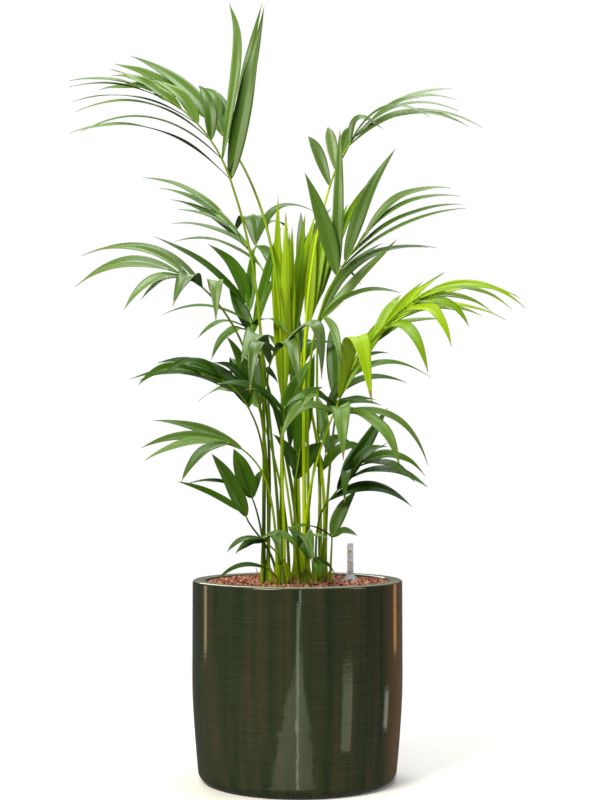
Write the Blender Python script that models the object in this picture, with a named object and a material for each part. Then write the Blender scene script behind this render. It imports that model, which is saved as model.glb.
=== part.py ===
"""A kentia palm and the glazed cylinder planter that it grows in.

Units are metres and +Z is up. The origin is the middle of the planter's flat underside, and -Y
is the front. Five canes stand on a bed of clay granules. Bare stalks rise from them, and each
stalk carries a frond: a rib with long leaflets, each cut clear of the next down to the rib.
"""

import bmesh
import bpy
import numpy as np
from mathutils.bvhtree import BVHTree

# Planter, turned about Z
POT_RADIUS = 0.215
POT_FOOT_RADIUS = 0.203
POT_HEIGHT = 0.405
POT_WALL = 0.028
POT_FLOOR = 0.030
POT_TAPER_HEIGHT = 0.22
POT_CORNER = 0.022
POT_LIP = 0.006
POT_SIDES = 48

# Bed of clay granules, which fills the planter
BED_TOP = 0.396

# Water gauge: a cone cap on the bed, a clear tube closed at its top, and a float in it
GAUGE_X, GAUGE_Y = 0.110, 0.038
CAP_RADIUS, CAP_TOP_RADIUS, CAP_HEIGHT = 0.0190, 0.0076, 0.015
TUBE_RADIUS, TUBE_WALL, TUBE_HEIGHT = 0.0065, 0.001, 0.065
FLOAT_RADIUS, FLOAT_HEIGHT = 0.003, 0.010
CAP_RIM = 0.002
GAUGE_SIDES = 16
FLOAT_SIDES = 8

# Canes: fibrous bases of the plants, flat at both ends, flared at the foot
CANES = {
    1: (-0.060, -0.020),
    2: (-0.030, -0.060),
    3: (0.000, 0.040),
    4: (0.015, -0.070),
    5: (0.050, -0.010),
}
CANE_HEIGHT = 0.042
CANE_RADII = (0.0120, 0.0107, 0.0103, 0.0102)
CANE_LEAN = 0.05
CANE_STEPS = 1.3
CANE_SIDES = 12

# Stalks and ribs
STALK_LEAST_RADIUS = 0.0025
STALK_GROWTH = 0.0023
STALK_TAPER = 0.55
RIB_TIP_RADIUS = 0.0014
STALKS_ON_CANE = 3
CANE_RING = 0.0056
FOOT_RING = 0.0180
STALK_SIDES = 5
RIB_SIDES = 3
STALK_STATIONS = 8
RIB_STATIONS = 4
STALK_STRAIGHT = 0.45
STALK_CURL = 0.30
FIRST_LEAF = 0.009

# Leaflets
LEAF_THICKNESS = 1 / 90
LEAF_LEAST_THICKNESS = 0.0016
LEAF_STATIONS = (0, 4, 9, 14, 19)
LEAF_STEPS = 24
LEAF_ROOT_WIDTH = 0.12
LEAF_WIDEST = 0.38
LEAF_SWELL = 0.7
LEAF_FALL = 2.0
LEAF_POINT = 1.0
LEAF_SUNK = 0.0006
LEAF_RELAX = 0.35
LEAF_SHARP = 0.667

# How far a leaflet in a row strays from its even place: along itself and in its arch as a
# share, at its tip in metres, and in the turn of its face in degrees
STRAY_LENGTH = 0.03
STRAY_RISE = 0.1
STRAY_TIP = (0.003, 0.007, 0.007)
STRAY_TURN = 6

# Room between solids, and the steps by which a stalk or a leaf tip moves to find it
GAP = 0.0003
MERGE = 0.000001
ROOM = 0.0007
BOW_STEP = 0.006
BOW_RINGS = 9
BOW_TURN = 0.4
BOWS_A_RING = 8
TIP_STEP = 0.014
TIP_STEPS = 7

# Base colours, and the angle past which an edge stays sharp
GLAZE = (0.035, 0.050, 0.028)
CLAY = (0.250, 0.115, 0.085)
GREY_PLASTIC = (0.42, 0.44, 0.47)
CLEAR_PLASTIC = (0.85, 0.87, 0.88)
RED_PLASTIC = (0.60, 0.05, 0.03)
CANE_BROWN = (0.160, 0.120, 0.050)
STALK_GREEN = (0.230, 0.330, 0.060)
SHARP_ANGLE = 35

UP = np.array([0.0, 0.0, 1.0])
FRONT = np.array([0.0, -1.0, 0.0])


def leaf(along_rib, reach, rise, width, turn, sharp=LEAF_SHARP, peak=0.5):
    """One leaflet: its root on the rib as a share, where its tip reaches from the crown in
    metres, how high it arches over its chord and its width in millimetres, how far it turns
    its face to the front in degrees, how sharp its bend is, and where the bend comes."""
    return fan(1, (along_rib, along_rib), reach, reach, (rise, rise), width, turn, sharp, peak)


def fan(count, along_rib, first, last, rise, width, turn, sharp=LEAF_SHARP, peak=0.5):
    """A row of leaflets whose roots, tips and arches run evenly from the first to the last."""
    return dict(count=count, along_rib=along_rib, first=first, last=last, rise=rise,
                width=width / 1000, turn=turn, sharp=sharp, peak=peak)


# Fronds: the cane, the crown where the rib starts, the run of the rib from there and how high
# it arches in millimetres. A short frond keeps its stalk in one piece with its blade.
FRONDS = (
    dict(name="tall_left", cane=1, crown=(-0.135, -0.04, 1.217), rib=(-0.135, -0.08, 0.16), arch=25,
         tint="dark", short=False, leaves=(
             leaf(0.02, (0.058, 0.0, 0.326), 2, 37, 90),
             leaf(0.1, (0.065, 0.02, 0.385), -4, 22, 90),
             leaf(0.22, (-0.006, -0.01, 0.373), -21, 21, 90, sharp=1.0, peak=0.78),
             fan(3, (0.42, 0.8), (-0.075, 0.04, 0.205), (-0.24, -0.12, 0.21), (25, 12), 28, 60),
             fan(6, (0.03, 1), (-0.295, -0.2, 0.045), (-0.305, -0.16, 0.18), (64, 19), 17, 45),
         )),
    dict(name="tall_left_back", cane=2, crown=(-0.12, 0.06, 1.282), rib=(-0.13, 0.1, 0.17), arch=12,
         tint="dark", short=False, leaves=(
             leaf(0.02, (0.045, 0.0, 0.345), 12, 26, 90),
             fan(3, (0.15, 0.45), (-0.055, 0.14, 0.195), (-0.1, 0.12, 0.185), (21, 29), 26, 60, sharp=0.85),
             fan(4, (0.3, 1), (-0.245, 0.14, 0.275), (-0.335, 0.2, 0.22), (25, 17), 34, 60),
         )),
    dict(name="tall_right", cane=4, crown=(0.065, 0.0, 1.212), rib=(0.115, 0.08, 0.185), arch=19,
         tint="sage", short=False, leaves=(
             leaf(0.02, (-0.043, 0.02, 0.117), 6, 24, 90, sharp=0.9, peak=0.8),
             leaf(0.2, (-0.001, 0.042, 0.142), 3, 24, 90, sharp=0.9, peak=0.8),
             leaf(0.3, (0.055, 0.055, 0.148), 8, 24, 90, sharp=0.9, peak=0.75),
             leaf(0.5, (0.113, 0.02, 0.133), 45, 20, 65, sharp=0.8, peak=0.5),
             fan(5, (0.45, 1), (0.29, -0.08, 0.105), (0.27, 0.1, 0.235), (64, 14), 15, 60),
             leaf(0.5, (0.205, -0.04, 0.14), 52, 15, 60),
         )),
    dict(name="upper_right", cane=4, crown=(0.075, -0.1, 1.012), rib=(0.065, -0.06, 0.085), arch=4,
         tint="dark", short=False, leaves=(
             leaf(0, (-0.06, 0.0, 0.215), 6, 32, 90),
             leaf(0.02, (0.012, 0.04, 0.314), 2, 23, 90),
             leaf(0.35, (0.12, -0.04, 0.255), 14, 29, 85),
             fan(4, (0.2, 0.9), (0.245, -0.16, 0.1), (0.23, -0.08, 0.17), (29, 33), 18, 60),
             leaf(0.1, (0.2, -0.05, 0.055), 25, 15, 55),
         )),
    dict(name="mid_right", cane=5, crown=(0.045, -0.02, 0.927), rib=(0.005, -0.06, 0.01), arch=6,
         tint="dark", short=False, leaves=(
             leaf(0, (0.135, 0.06, 0.18), 25, 21, 60),
             leaf(0.2, (0.23, 0.06, 0.17), 58, 20, 60),
             leaf(0.3, (0.16, -0.02, 0.175), 4, 24, 70),
             leaf(0.5, (0.16, -0.1, 0.055), 29, 24, 55),
             leaf(0.8, (0.04, -0.22, -0.11), 33, 20, 0),
             leaf(0.6, (-0.04, -0.18, -0.105), 25, 18, 0),
         )),
    dict(name="lime_right", cane=4, crown=(0.08, -0.14, 0.762), rib=(0.17, -0.14, 0.205), arch=29,
         tint="lime", short=False, leaves=(
             leaf(0.02, (0.06, -0.2, -0.01), 128, 44, 30, sharp=0.85, peak=0.4),
             leaf(0.4, (0.16, -0.2, 0.045), 70, 30, 55),
             leaf(0.65, (0.205, -0.18, 0.095), 54, 26, 55),
             leaf(0.85, (0.24, -0.16, 0.135), 27, 22, 55),
             fan(7, (0.35, 1), (0.22, 0.0, 0.18), (0.345, -0.14, 0.165), (29, 29), 18, 55),
             leaf(0.6, (0.165, -0.04, 0.235), 4, 14, 70),
             fan(2, (0.2, 0.5), (0.215, 0.04, 0.255), (0.13, 0.06, 0.21), (19, 10), 20, 50),
             leaf(0.05, (0.22, 0.08, 0.27), 25, 24, 60),
             leaf(0.75, (0.35, -0.02, 0.21), 33, 20, 55),
             leaf(0.85, (0.345, -0.1, 0.195), 31, 18, 55),
             leaf(0.6, (0.335, 0.02, 0.165), 39, 16, 55),
             leaf(0.45, (0.23, 0.06, 0.195), 27, 12, 35),
             leaf(0.3, (0.13, 0.02, 0.185), 19, 14, 40),
         )),
    dict(name="lime_centre", cane=3, crown=(-0.03, 0.0, 0.757), rib=(0.02, 0.02, 0.145), arch=0,
         tint="lime", short=True, leaves=(
             fan(5, (0, 0.9), (-0.012, 0.0, 0.42), (0.065, 0.02, 0.415), (-6, 6), 24, 90),
             fan(4, (0.05, 0.9), (-0.03, 0.1, 0.37), (0.035, 0.12, 0.39), (10, -6), 20, 80),
         )),
    dict(name="lime_centre_right", cane=3, crown=(0.02, 0.03, 0.917), rib=(0.035, 0.03, 0.09), arch=4,
         tint="lime", short=True, leaves=(
             fan(4, (0, 0.9), (0.015, 0.03, 0.215), (0.13, 0.07, 0.32), (4, 17), 22, 80),
         )),
    dict(name="weeping_left", cane=1, crown=(-0.16, -0.12, 0.962), rib=(-0.09, -0.12, 0.05), arch=12,
         tint="sage", short=False, leaves=(
             leaf(0.02, (0.005, -0.12, -0.05), 62, 32, 55, sharp=0.85, peak=0.45),
             leaf(0.35, (-0.07, -0.2, -0.03), 41, 34, 50, sharp=0.8, peak=0.4),
             leaf(0.6, (-0.155, -0.24, -0.04), 29, 26, 40),
             leaf(0.45, (-0.13, -0.24, -0.015), 25, 20, 40),
             fan(4, (0.3, 1), (-0.24, -0.06, 0.105), (-0.255, -0.18, 0.0), (45, 27), 18, 55),
         )),
    dict(name="mid_left", cane=1, crown=(-0.09, 0.02, 0.907), rib=(-0.02, 0.04, 0.09), arch=0,
         tint="deep", short=False, leaves=(
             leaf(0.8, (-0.1, 0.04, 0.2), 21, 34, 70),
             leaf(0.8, (-0.21, 0.0, 0.21), 17, 24, 55),
             leaf(0.1, (-0.11, -0.12, -0.015), 31, 20, 40),
             leaf(0.3, (-0.185, -0.06, 0.04), 29, 16, 35),
             leaf(0.05, (-0.08, -0.2, -0.06), 33, 24, 35),
             leaf(0.1, (-0.055, 0.04, 0.125), -4, 28, 80),
             leaf(0.3, (0.07, -0.12, 0.0), 21, 18, 20),
             leaf(0.6, (-0.005, 0.08, 0.2), 4, 22, 85),
             leaf(0.05, (0.055, 0.06, 0.24), 6, 20, 85),
             leaf(0.02, (0.06, 0.0, 0.15), 8, 18, 80),
         )),
    dict(name="front_centre", cane=2, crown=(-0.055, -0.16, 0.832), rib=(0.015, -0.1, 0.02), arch=4,
         tint="sage", short=False, leaves=(
             leaf(0.1, (-0.05, -0.14, -0.005), 62, 42, 65, sharp=0.9, peak=0.4),
             leaf(0.5, (0.06, -0.18, -0.055), 62, 30, 60, sharp=0.85, peak=0.4),
             leaf(0.9, (0.1, -0.16, -0.035), 87, 32, 60, sharp=0.85),
             leaf(0.9, (-0.03, -0.22, -0.065), 62, 28, 50, sharp=0.85),
         )),
    dict(name="arched_left", cane=1, crown=(-0.095, -0.06, 0.747), rib=(-0.095, -0.08, 0.07), arch=19,
         tint="deep", short=False, leaves=(
             fan(3, (0.3, 1), (-0.235, -0.02, 0.07), (-0.21, -0.14, 0.04), (31, 21), 24, 55),
             fan(2, (0.1, 0.6), (-0.195, 0.06, 0.11), (-0.155, -0.14, 0.07), (45, 33), 30, 60),
             leaf(0, (-0.05, 0.02, 0.155), 17, 26, 85),
             leaf(0.15, (-0.075, -0.04, 0.1), 29, 26, 65),
         )),
    dict(name="inner_centre", cane=4, crown=(-0.005, -0.03, 0.602), rib=(0.01, 0.0, 0.07), arch=0,
         tint="deep", short=True, leaves=(
             leaf(0.95, (0.04, 0.0, 0.265), 4, 37, 90),
             leaf(0.75, (-0.01, 0.03, 0.24), 6, 22, 86),
             leaf(0.1, (0.06, 0.03, 0.085), 10, 38, 85),
             leaf(0.3, (-0.045, -0.01, 0.1), 10, 26, 82),
         )),
    dict(name="inner_front", cane=2, crown=(-0.03, -0.12, 0.702), rib=(0.005, -0.06, 0.05), arch=0,
         tint="deep", short=True, leaves=(
             fan(2, (0.2, 0.8), (-0.07, -0.16, 0.075), (-0.11, -0.12, 0.085), (25, 29), 34, 55),
             fan(2, (0.2, 0.8), (0.06, -0.03, 0.15), (0.055, -0.1, 0.06), (8, 14), 32, 80),
             leaf(0.5, (0.08, -0.02, 0.09), 14, 28, 75),
         )),
    dict(name="low_left", cane=2, crown=(-0.085, -0.1, 0.647), rib=(-0.05, -0.08, 0.035), arch=6,
         tint="dark", short=True, leaves=(
             leaf(0.5, (-0.2, -0.04, 0.08), 14, 24, 50),
             leaf(0.7, (-0.215, -0.1, 0.025), 23, 24, 50),
             leaf(0.8, (-0.2, -0.18, 0.0), 21, 22, 45),
             leaf(0.9, (-0.13, -0.2, -0.04), 25, 24, 55),
         )),
    dict(name="oval_left", cane=1, crown=(-0.09, -0.04, 0.567), rib=(-0.005, -0.02, 0.015), arch=0,
         tint="deep", short=True, leaves=(
             leaf(0.3, (-0.04, 0.0, 0.105), 2, 41, 90),
             leaf(0.3, (0.02, 0.01, 0.065), 8, 16, 80),
             leaf(0.5, (-0.11, -0.08, 0.04), 14, 18, 45),
             leaf(0.9, (-0.125, -0.14, 0.035), 17, 16, 45),
         )),
    dict(name="spear_left", cane=1, crown=(-0.1, -0.1, 0.532), rib=(-0.005, -0.02, 0.015), arch=0,
         tint="deep", short=True, leaves=(
             leaf(0.3, (-0.07, -0.02, 0.13), 6, 34, 88),
             leaf(0.8, (-0.13, -0.1, 0.075), 8, 24, 65),
         )),
    dict(name="skirt_left", cane=2, crown=(-0.06, -0.12, 0.487), rib=(-0.005, -0.02, 0.01), arch=0,
         tint="dark", short=True, leaves=(
             leaf(0.3, (-0.075, -0.08, -0.015), 17, 18, 40),
             leaf(0.3, (-0.06, -0.05, -0.02), 10, 20, 40),
             leaf(0.3, (0.03, -0.08, -0.035), 33, 24, 65, sharp=0.85, peak=0.35),
         )),
    dict(name="ground_left", cane=2, crown=(-0.055, -0.1, 0.43), rib=(-0.005, -0.015, 0.006), arch=0,
         tint="deep", short=True, leaves=(
             leaf(0.3, (-0.105, -0.05, -0.02), 21, 14, 40),
         )),
    dict(name="ground_right", cane=4, crown=(0.03, -0.1, 0.447), rib=(0.0, -0.015, 0.01), arch=0,
         tint="deep", short=True, leaves=(
             leaf(0.3, (0.015, -0.04, -0.03), 10, 18, 60),
             leaf(0.8, (0.045, 0.0, -0.025), 8, 14, 50),
             leaf(0.5, (-0.05, 0.03, 0.07), 6, 24, 80),
         )),
    dict(name="skirt_front", cane=4, crown=(0.0, -0.13, 0.472), rib=(0.0, -0.02, 0.01), arch=0,
         tint="dark", short=True, leaves=(
             leaf(0.3, (-0.08, -0.07, 0.015), 25, 18, 40),
             leaf(0.3, (0.03, -0.08, -0.02), 41, 29, 70, sharp=0.85, peak=0.35),
             leaf(0.3, (0.06, -0.07, 0.025), 17, 16, 40),
         )),
    dict(name="skirt_right", cane=5, crown=(0.07, -0.04, 0.487), rib=(0.0, -0.01, 0.01), arch=0,
         tint="dark", short=True, leaves=(
             leaf(0.3, (0.05, -0.03, 0.01), 12, 20, 65),
             leaf(0.3, (-0.09, -0.12, 0.025), 17, 18, 40),
             leaf(0.8, (0.05, 0.01, 0.1), 8, 27, 85),
         )),
    dict(name="low_right", cane=5, crown=(0.06, -0.04, 0.562), rib=(0.07, -0.08, 0.09), arch=0,
         tint="deep", short=False, leaves=(
             leaf(0.05, (0.165, -0.1, -0.005), 35, 28, 50),
             leaf(0.5, (0.185, -0.22, 0.035), 31, 28, 50),
             leaf(0.8, (0.16, -0.24, 0.045), 25, 26, 45),
             leaf(0.3, (0.125, 0.02, 0.195), 0, 30, 85),
             leaf(0.4, (0.085, 0.06, 0.13), 17, 20, 60),
             leaf(0.7, (0.125, 0.1, 0.115), 19, 22, 50),
             leaf(0.9, (0.195, -0.06, 0.055), 31, 24, 50),
             leaf(0.6, (0.03, -0.18, 0.005), 37, 22, 40),
             leaf(0.2, (0.115, -0.08, 0.12), 12, 26, 60),
             leaf(0.3, (0.08, -0.1, 0.13), 12, 22, 60),
         )),
    dict(name="front_right", cane=5, crown=(0.075, -0.16, 0.737), rib=(0.0, -0.06, 0.005), arch=0,
         tint="dark", short=False, leaves=(
             leaf(0.5, (0.01, -0.16, -0.09), 54, 38, 65, sharp=0.85, peak=0.35),
             leaf(0.5, (0.115, -0.14, -0.1), 41, 30, 50),
             leaf(0.4, (0.175, -0.06, -0.1), 50, 20, 40),
             leaf(0.2, (0.095, 0.1, -0.005), 17, 18, 40),
             leaf(0.5, (-0.105, -0.1, -0.05), 41, 28, 50),
             leaf(0.7, (-0.07, -0.2, 0.0), 33, 18, 30),
         )),
    dict(name="low_right_back", cane=3, crown=(0.06, 0.09, 0.737), rib=(0.04, 0.07, 0.1), arch=4,
         tint="deep", short=False, leaves=(
             fan(3, (0.2, 0.7), (0.115, 0.05, 0.045), (0.24, 0.13, 0.1), (12, 50), 20, 45),
             leaf(0.9, (0.145, 0.17, 0.155), 21, 20, 50),
             leaf(0.5, (0.015, 0.21, 0.215), 17, 28, 60),
             leaf(0.1, (0.125, 0.03, 0.13), 27, 26, 60),
             leaf(0.05, (0.12, 0.02, 0.03), 21, 20, 45),
         )),
    dict(name="upper_left_back", cane=3, crown=(-0.075, 0.08, 1.057), rib=(-0.08, 0.1, 0.12), arch=4,
         tint="dark", short=False, leaves=(
             fan(3, (0.3, 1), (-0.215, 0.22, 0.19), (-0.265, 0.16, 0.23), (25, 25), 20, 45),
             fan(3, (0, 0.8), (-0.19, -0.02, 0.06), (-0.185, 0.04, 0.14), (27, 12), 18, 40),
         )),
    dict(name="back_centre", cane=3, crown=(-0.105, 0.14, 1.072), rib=(0.025, 0.1, 0.105), arch=0,
         tint="dark", short=False, leaves=(
             leaf(0.5, (-0.05, 0.26, 0.105), 62, 32, 50, sharp=0.85, peak=0.4),
             leaf(0.6, (0.035, 0.28, 0.13), 50, 28, 50, sharp=0.85, peak=0.4),
             fan(2, (0.6, 0.9), (0.145, 0.14, 0.135), (0.085, 0.24, 0.125), (41, 25), 22, 50),
             leaf(0.5, (0.07, -0.12, -0.075), 29, 26, 50),
         )),
    dict(name="back_right", cane=5, crown=(0.005, 0.12, 0.997), rib=(0.04, 0.1, 0.095), arch=0,
         tint="dark", short=False, leaves=(
             fan(3, (0.1, 0.9), (0.075, 0.08, 0.215), (0.115, 0.2, 0.205), (29, 17), 26, 60),
             fan(2, (0.1, 0.5), (0.0, 0.14, 0.21), (0.05, 0.28, 0.21), (12, 29), 24, 60),
             leaf(0.5, (0.14, 0.18, 0.055), 41, 22, 30),
             leaf(0.02, (0.045, -0.04, 0.155), 17, 26, 70),
         )),
    dict(name="back_low_left", cane=3, crown=(-0.075, 0.12, 0.737), rib=(-0.055, 0.14, 0.115), arch=8,
         tint="deep", short=False, leaves=(
             fan(3, (0.2, 1), (-0.15, 0.12, 0.06), (-0.08, 0.32, 0.125), (41, 37), 26, 40),
             fan(2, (0.2, 0.7), (-0.005, 0.18, 0.175), (0.025, 0.3, 0.095), (12, 37), 28, 50),
         )),
    dict(name="back_low_right", cane=5, crown=(0.05, 0.1, 0.607), rib=(0.02, 0.14, 0.09), arch=6,
         tint="deep", short=False, leaves=(
             fan(3, (0.2, 1), (0.13, 0.12, 0.055), (0.035, 0.32, 0.04), (41, 41), 26, 40),
             fan(2, (0.2, 0.7), (-0.055, 0.16, 0.065), (-0.005, 0.26, 0.185), (21, 21), 26, 50),
         )),
    dict(name="back_middle", cane=3, crown=(-0.005, 0.13, 0.792), rib=(0.01, 0.15, 0.12), arch=6,
         tint="deep", short=False, leaves=(
             fan(3, (0.2, 1), (0.11, 0.13, 0.11), (0.02, 0.31, 0.12), (41, 50), 26, 40),
             fan(2, (0.2, 0.7), (-0.065, 0.13, 0.15), (-0.015, 0.17, 0.25), (17, 8), 26, 60),
             leaf(0.05, (-0.012, 0.05, -0.12), 8, 28, 90),
             leaf(0.05, (0.085, 0.04, -0.045), 25, 30, 60),
         )),
)

TINTS = {
    "dark": (0.075, 0.135, 0.045),
    "deep": (0.045, 0.090, 0.015),
    "sage": (0.150, 0.240, 0.095),
    "lime": (0.300, 0.430, 0.030),
}


# Vectors and curves

def unit(v):
    return v / np.maximum(np.linalg.norm(v, axis=-1, keepdims=True), MERGE)


def heading(chord):
    """The level direction that a chord runs in."""
    flat = np.array([chord[0], chord[1], 0.0])
    length = np.linalg.norm(flat)
    return flat / length if length > GAP else np.array([1.0, 0.0, 0.0])


def cubic(a, b, c, d, t):
    """Points of a cubic Bezier curve at the shares t."""
    t = t[:, None]
    return (1 - t) ** 3 * a + 3 * t * (1 - t) ** 2 * b + 3 * t * t * (1 - t) * c + t ** 3 * d


def arch(a, b, rise, sharp, peak, t):
    """A curve from a to b that arches over its chord, in the chord's own upright plane."""
    chord = b - a
    level = heading(chord)
    along = unit(chord)
    over = unit(UP * (along @ level) - level * along[2])
    top = a + chord * peak + over * rise / (0.75 * sharp)
    return cubic(a, a + (top - a) * sharp, b + (top - b) * sharp, b, t)


def directions(points):
    return unit(np.gradient(points, axis=0))


def point_on(points, share):
    """The point at a share of the way along evenly stepped points."""
    steps = np.linspace(0, 1, len(points))
    return np.array([np.interp(share, steps, points[:, k]) for k in range(3)])


# Closed meshes as vertices and faces

def skin(sections, tip=None):
    """A closed body through rings of points. It ends flat, or in one point."""
    rings, sides = sections.shape[:2]
    vertices = sections.reshape(-1, 3)
    faces = [tuple(range(sides))[::-1]]
    for i in range(rings - 1):
        for j in range(sides):
            k = (j + 1) % sides
            low, high = i * sides, (i + 1) * sides
            faces.append((low + j, low + k, high + k, high + j))
    last = (rings - 1) * sides
    if tip is None:
        faces.append(tuple(last + j for j in range(sides)))
    else:
        faces += [(last + j, last + (j + 1) % sides, rings * sides) for j in range(sides)]
        vertices = np.vstack([vertices, tip])
    return vertices, faces


def turned(profile, sides, centre=(0.0, 0.0)):
    """A body turned about Z from a profile of (radius, height) whose ends lie on the axis."""
    angles = np.arange(sides) * 2 * np.pi / sides
    ring = np.stack([np.cos(angles), np.sin(angles)], 1)
    vertices, faces = [(centre[0], centre[1], profile[0][1])], []
    for radius, height in profile[1:-1]:
        vertices += [(centre[0] + radius * x, centre[1] + radius * y, height) for x, y in ring]
    vertices.append((centre[0], centre[1], profile[-1][1]))
    top = len(vertices) - 1
    for j in range(sides):
        k = (j + 1) % sides
        faces.append((0, 1 + k, 1 + j))
        for i in range(len(profile) - 3):
            low, high = 1 + i * sides, 1 + (i + 1) * sides
            faces.append((low + j, low + k, high + k, high + j))
        faces.append((top - sides + j, top - sides + k, top))
    return np.array(vertices), faces


def tube(points, along, radii, sides):
    """A round limb through points, with the direction of its axis at each."""
    across = np.cross(UP, heading(points[-1] - points[0]))
    first = unit(across - along * (along @ across)[:, None])
    second = np.cross(along, first)
    angles = np.arange(sides) * 2 * np.pi / sides
    ring = np.cos(angles)[:, None] * first[:, None] + np.sin(angles)[:, None] * second[:, None]
    return skin(points[:, None] + ring * np.asarray(radii)[:, None, None])


def blade(line, width, turn, room=0.0, stations=LEAF_STATIONS):
    """A leaflet along a line: three-sided, flat on its face, with its keel behind, and drawn
    out to a point. Its width swells to its widest and tapers. A leaflet that runs across the
    front turns its face to it, and one that runs towards the front or back keeps it upward."""
    share = np.linspace(0, 1, len(line))
    along = directions(line)
    level = heading(line[-1] - line[0])
    face = unit(UP * (along @ level)[:, None] - level * (along @ UP)[:, None])
    aside = np.cross(UP, level)
    toward = aside @ FRONT
    angle = np.radians(turn) * toward * (1 - LEAF_RELAX * share)[:, None]
    normal = np.cos(angle) * face + np.sin(angle) * aside
    across = unit(np.cross(along, normal))
    swell = LEAF_ROOT_WIDTH + (1 - LEAF_ROOT_WIDTH) * (
        1 - np.clip(1 - share / LEAF_WIDEST, 0, 1) ** 2) ** LEAF_SWELL
    past = np.clip((share - LEAF_WIDEST) / (1 - LEAF_WIDEST), 0, 1)
    taper = (1 - past ** LEAF_FALL) ** LEAF_POINT
    half = (width * np.where(share < LEAF_WIDEST, swell, taper) / 2 + room)[:, None]
    length = np.linalg.norm(np.diff(line, axis=0), axis=1).sum()
    depth = max(length * LEAF_THICKNESS, LEAF_LEAST_THICKNESS) + 2 * room
    spine = line + normal * room
    spine[0] -= along[0] * LEAF_SUNK
    rings = np.stack([spine + across * half, spine - across * half, spine - normal * depth], 1)
    return skin(rings[list(stations)], spine[-1])


# The plant's own rule: axes first, then leaflets where there is room

placed = []


def set_down(node, body, group=placed):
    """Remembers a solid, so that later ones keep clear of it."""
    vertices, faces = body
    tree = BVHTree.FromPolygons([tuple(v) for v in vertices], faces)
    group.append((node, vertices.min(0), vertices.max(0), tree))


def is_clear(node, body, group=placed):
    """True where a body meets no solid of any other node in the group."""
    vertices, faces = body
    low, high = vertices.min(0), vertices.max(0)
    tree = None
    for other, other_low, other_high, other_tree in group:
        if other == node or (low > other_high).any() or (high < other_low).any():
            continue
        tree = tree or BVHTree.FromPolygons([tuple(v) for v in vertices], faces)
        if tree.overlap(other_tree):
            return False
    return True


def cane_line(cane):
    """The axis of a cane: it leans out from the middle of the clump."""
    foot = np.array([*CANES[cane], BED_TOP + GAP])
    lean = np.array([foot[0], foot[1], 0.0]) * CANE_LEAN
    heights = np.linspace(0, 1, len(CANE_RADII))[:, None] ** CANE_STEPS
    return foot + heights * (UP * CANE_HEIGHT + lean)


def ring_of_feet(group, centre, radius):
    """Feet evenly round a centre, in the order of the directions that the stalks leave in, so
    that no two cross."""
    aim = [np.arctan2(f["crown"][1] - centre[1], f["crown"][0] - centre[0]) for f in group]
    order = np.argsort(aim)
    step = 2 * np.pi / len(group)
    offsets = [aim[k] - step * i for i, k in enumerate(order)]
    start = np.angle(np.mean(np.exp(1j * np.array(offsets))))
    turns = start + step * np.arange(len(group))
    return {group[k]["name"]: centre + radius * np.array([np.cos(turn), np.sin(turn), 0.0])
            for k, turn in zip(order, turns)}


def stalk_feet():
    """Where each stalk starts. The highest of a cane's stalks rise from its top, and the
    others from the bed round its foot."""
    feet = {}
    for cane in CANES:
        line = cane_line(cane)
        group = sorted((f for f in FRONDS if f["cane"] == cane), key=lambda f: -f["crown"][2])
        top, foot = line[-1] + UP * GAP, line[0]
        feet.update(ring_of_feet(group[:STALKS_ON_CANE], top, CANE_RING))
        feet.update(ring_of_feet(group[STALKS_ON_CANE:], foot, FOOT_RING))
    return feet


def stalk_radii(line):
    """A longer stalk is thicker, and each narrows from its foot to its crown."""
    length = np.linalg.norm(line[-1] - line[0])
    foot = STALK_LEAST_RADIUS + STALK_GROWTH * length
    return np.linspace(foot, foot * STALK_TAPER, len(line))


def rib_line(frond, steps=16):
    crown = np.array(frond["crown"])
    t = np.linspace(0, 1, steps + 1)
    return arch(crown, crown + frond["rib"], frond["arch"] / 1000, LEAF_SHARP, 0.5, t)


def stalk_line(frond, foot, bow):
    """From the cane straight up, then over into the rib. The bow moves its middle aside."""
    rib = rib_line(frond)
    rise = np.linalg.norm(rib[0] - foot)
    low = foot + UP * rise * STALK_STRAIGHT + bow
    high = rib[0] - unit(rib[1] - rib[0]) * rise * STALK_CURL + bow / 2
    return cubic(foot, low, high, rib[0], np.linspace(0, 1, STALK_STATIONS))


def stalk_body(line, rib, room=0.0):
    along = directions(line)
    along[0] = UP
    along[-1] = unit(rib[1] - rib[0])
    return tube(line, along, stalk_radii(line) + room, STALK_SIDES)


def rib_body(rib, start, room=0.0):
    pick = np.linspace(0, len(rib) - 1, RIB_STATIONS).round().astype(int)
    along = directions(rib)[pick]
    line = rib[pick]
    line[0] += along[0] * GAP
    radii = np.linspace(start, RIB_TIP_RADIUS, RIB_STATIONS) + room
    return tube(line, along, radii, RIB_SIDES)


def bows():
    """Sideways offsets in widening rings, nearest first."""
    yield np.zeros(3)
    for ring in range(1, BOW_RINGS + 1):
        for angle in np.arange(BOWS_A_RING) * 2 * np.pi / BOWS_A_RING + ring * BOW_TURN:
            yield ring * BOW_STEP * np.array([np.cos(angle), np.sin(angle), 0.0])


def place_axes():
    """Sets down every stalk and rib, each bowed aside until it clears those before it."""
    axes = {}
    feet = stalk_feet()
    for frond in FRONDS:
        name = frond["name"]
        rib = rib_line(frond)
        for bow in bows():
            line = stalk_line(frond, feet[name], bow)
            end = stalk_radii(line)[-1]
            if (is_clear(name, stalk_body(line, rib, ROOM))
                    and is_clear(name, rib_body(rib, end, ROOM))):
                break
        else:
            print("no clear way for the stalk of", name)
        set_down("stalk_" + name, stalk_body(line, rib))
        set_down(name, rib_body(rib, end))
        axes[name] = line, rib
    return axes


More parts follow.
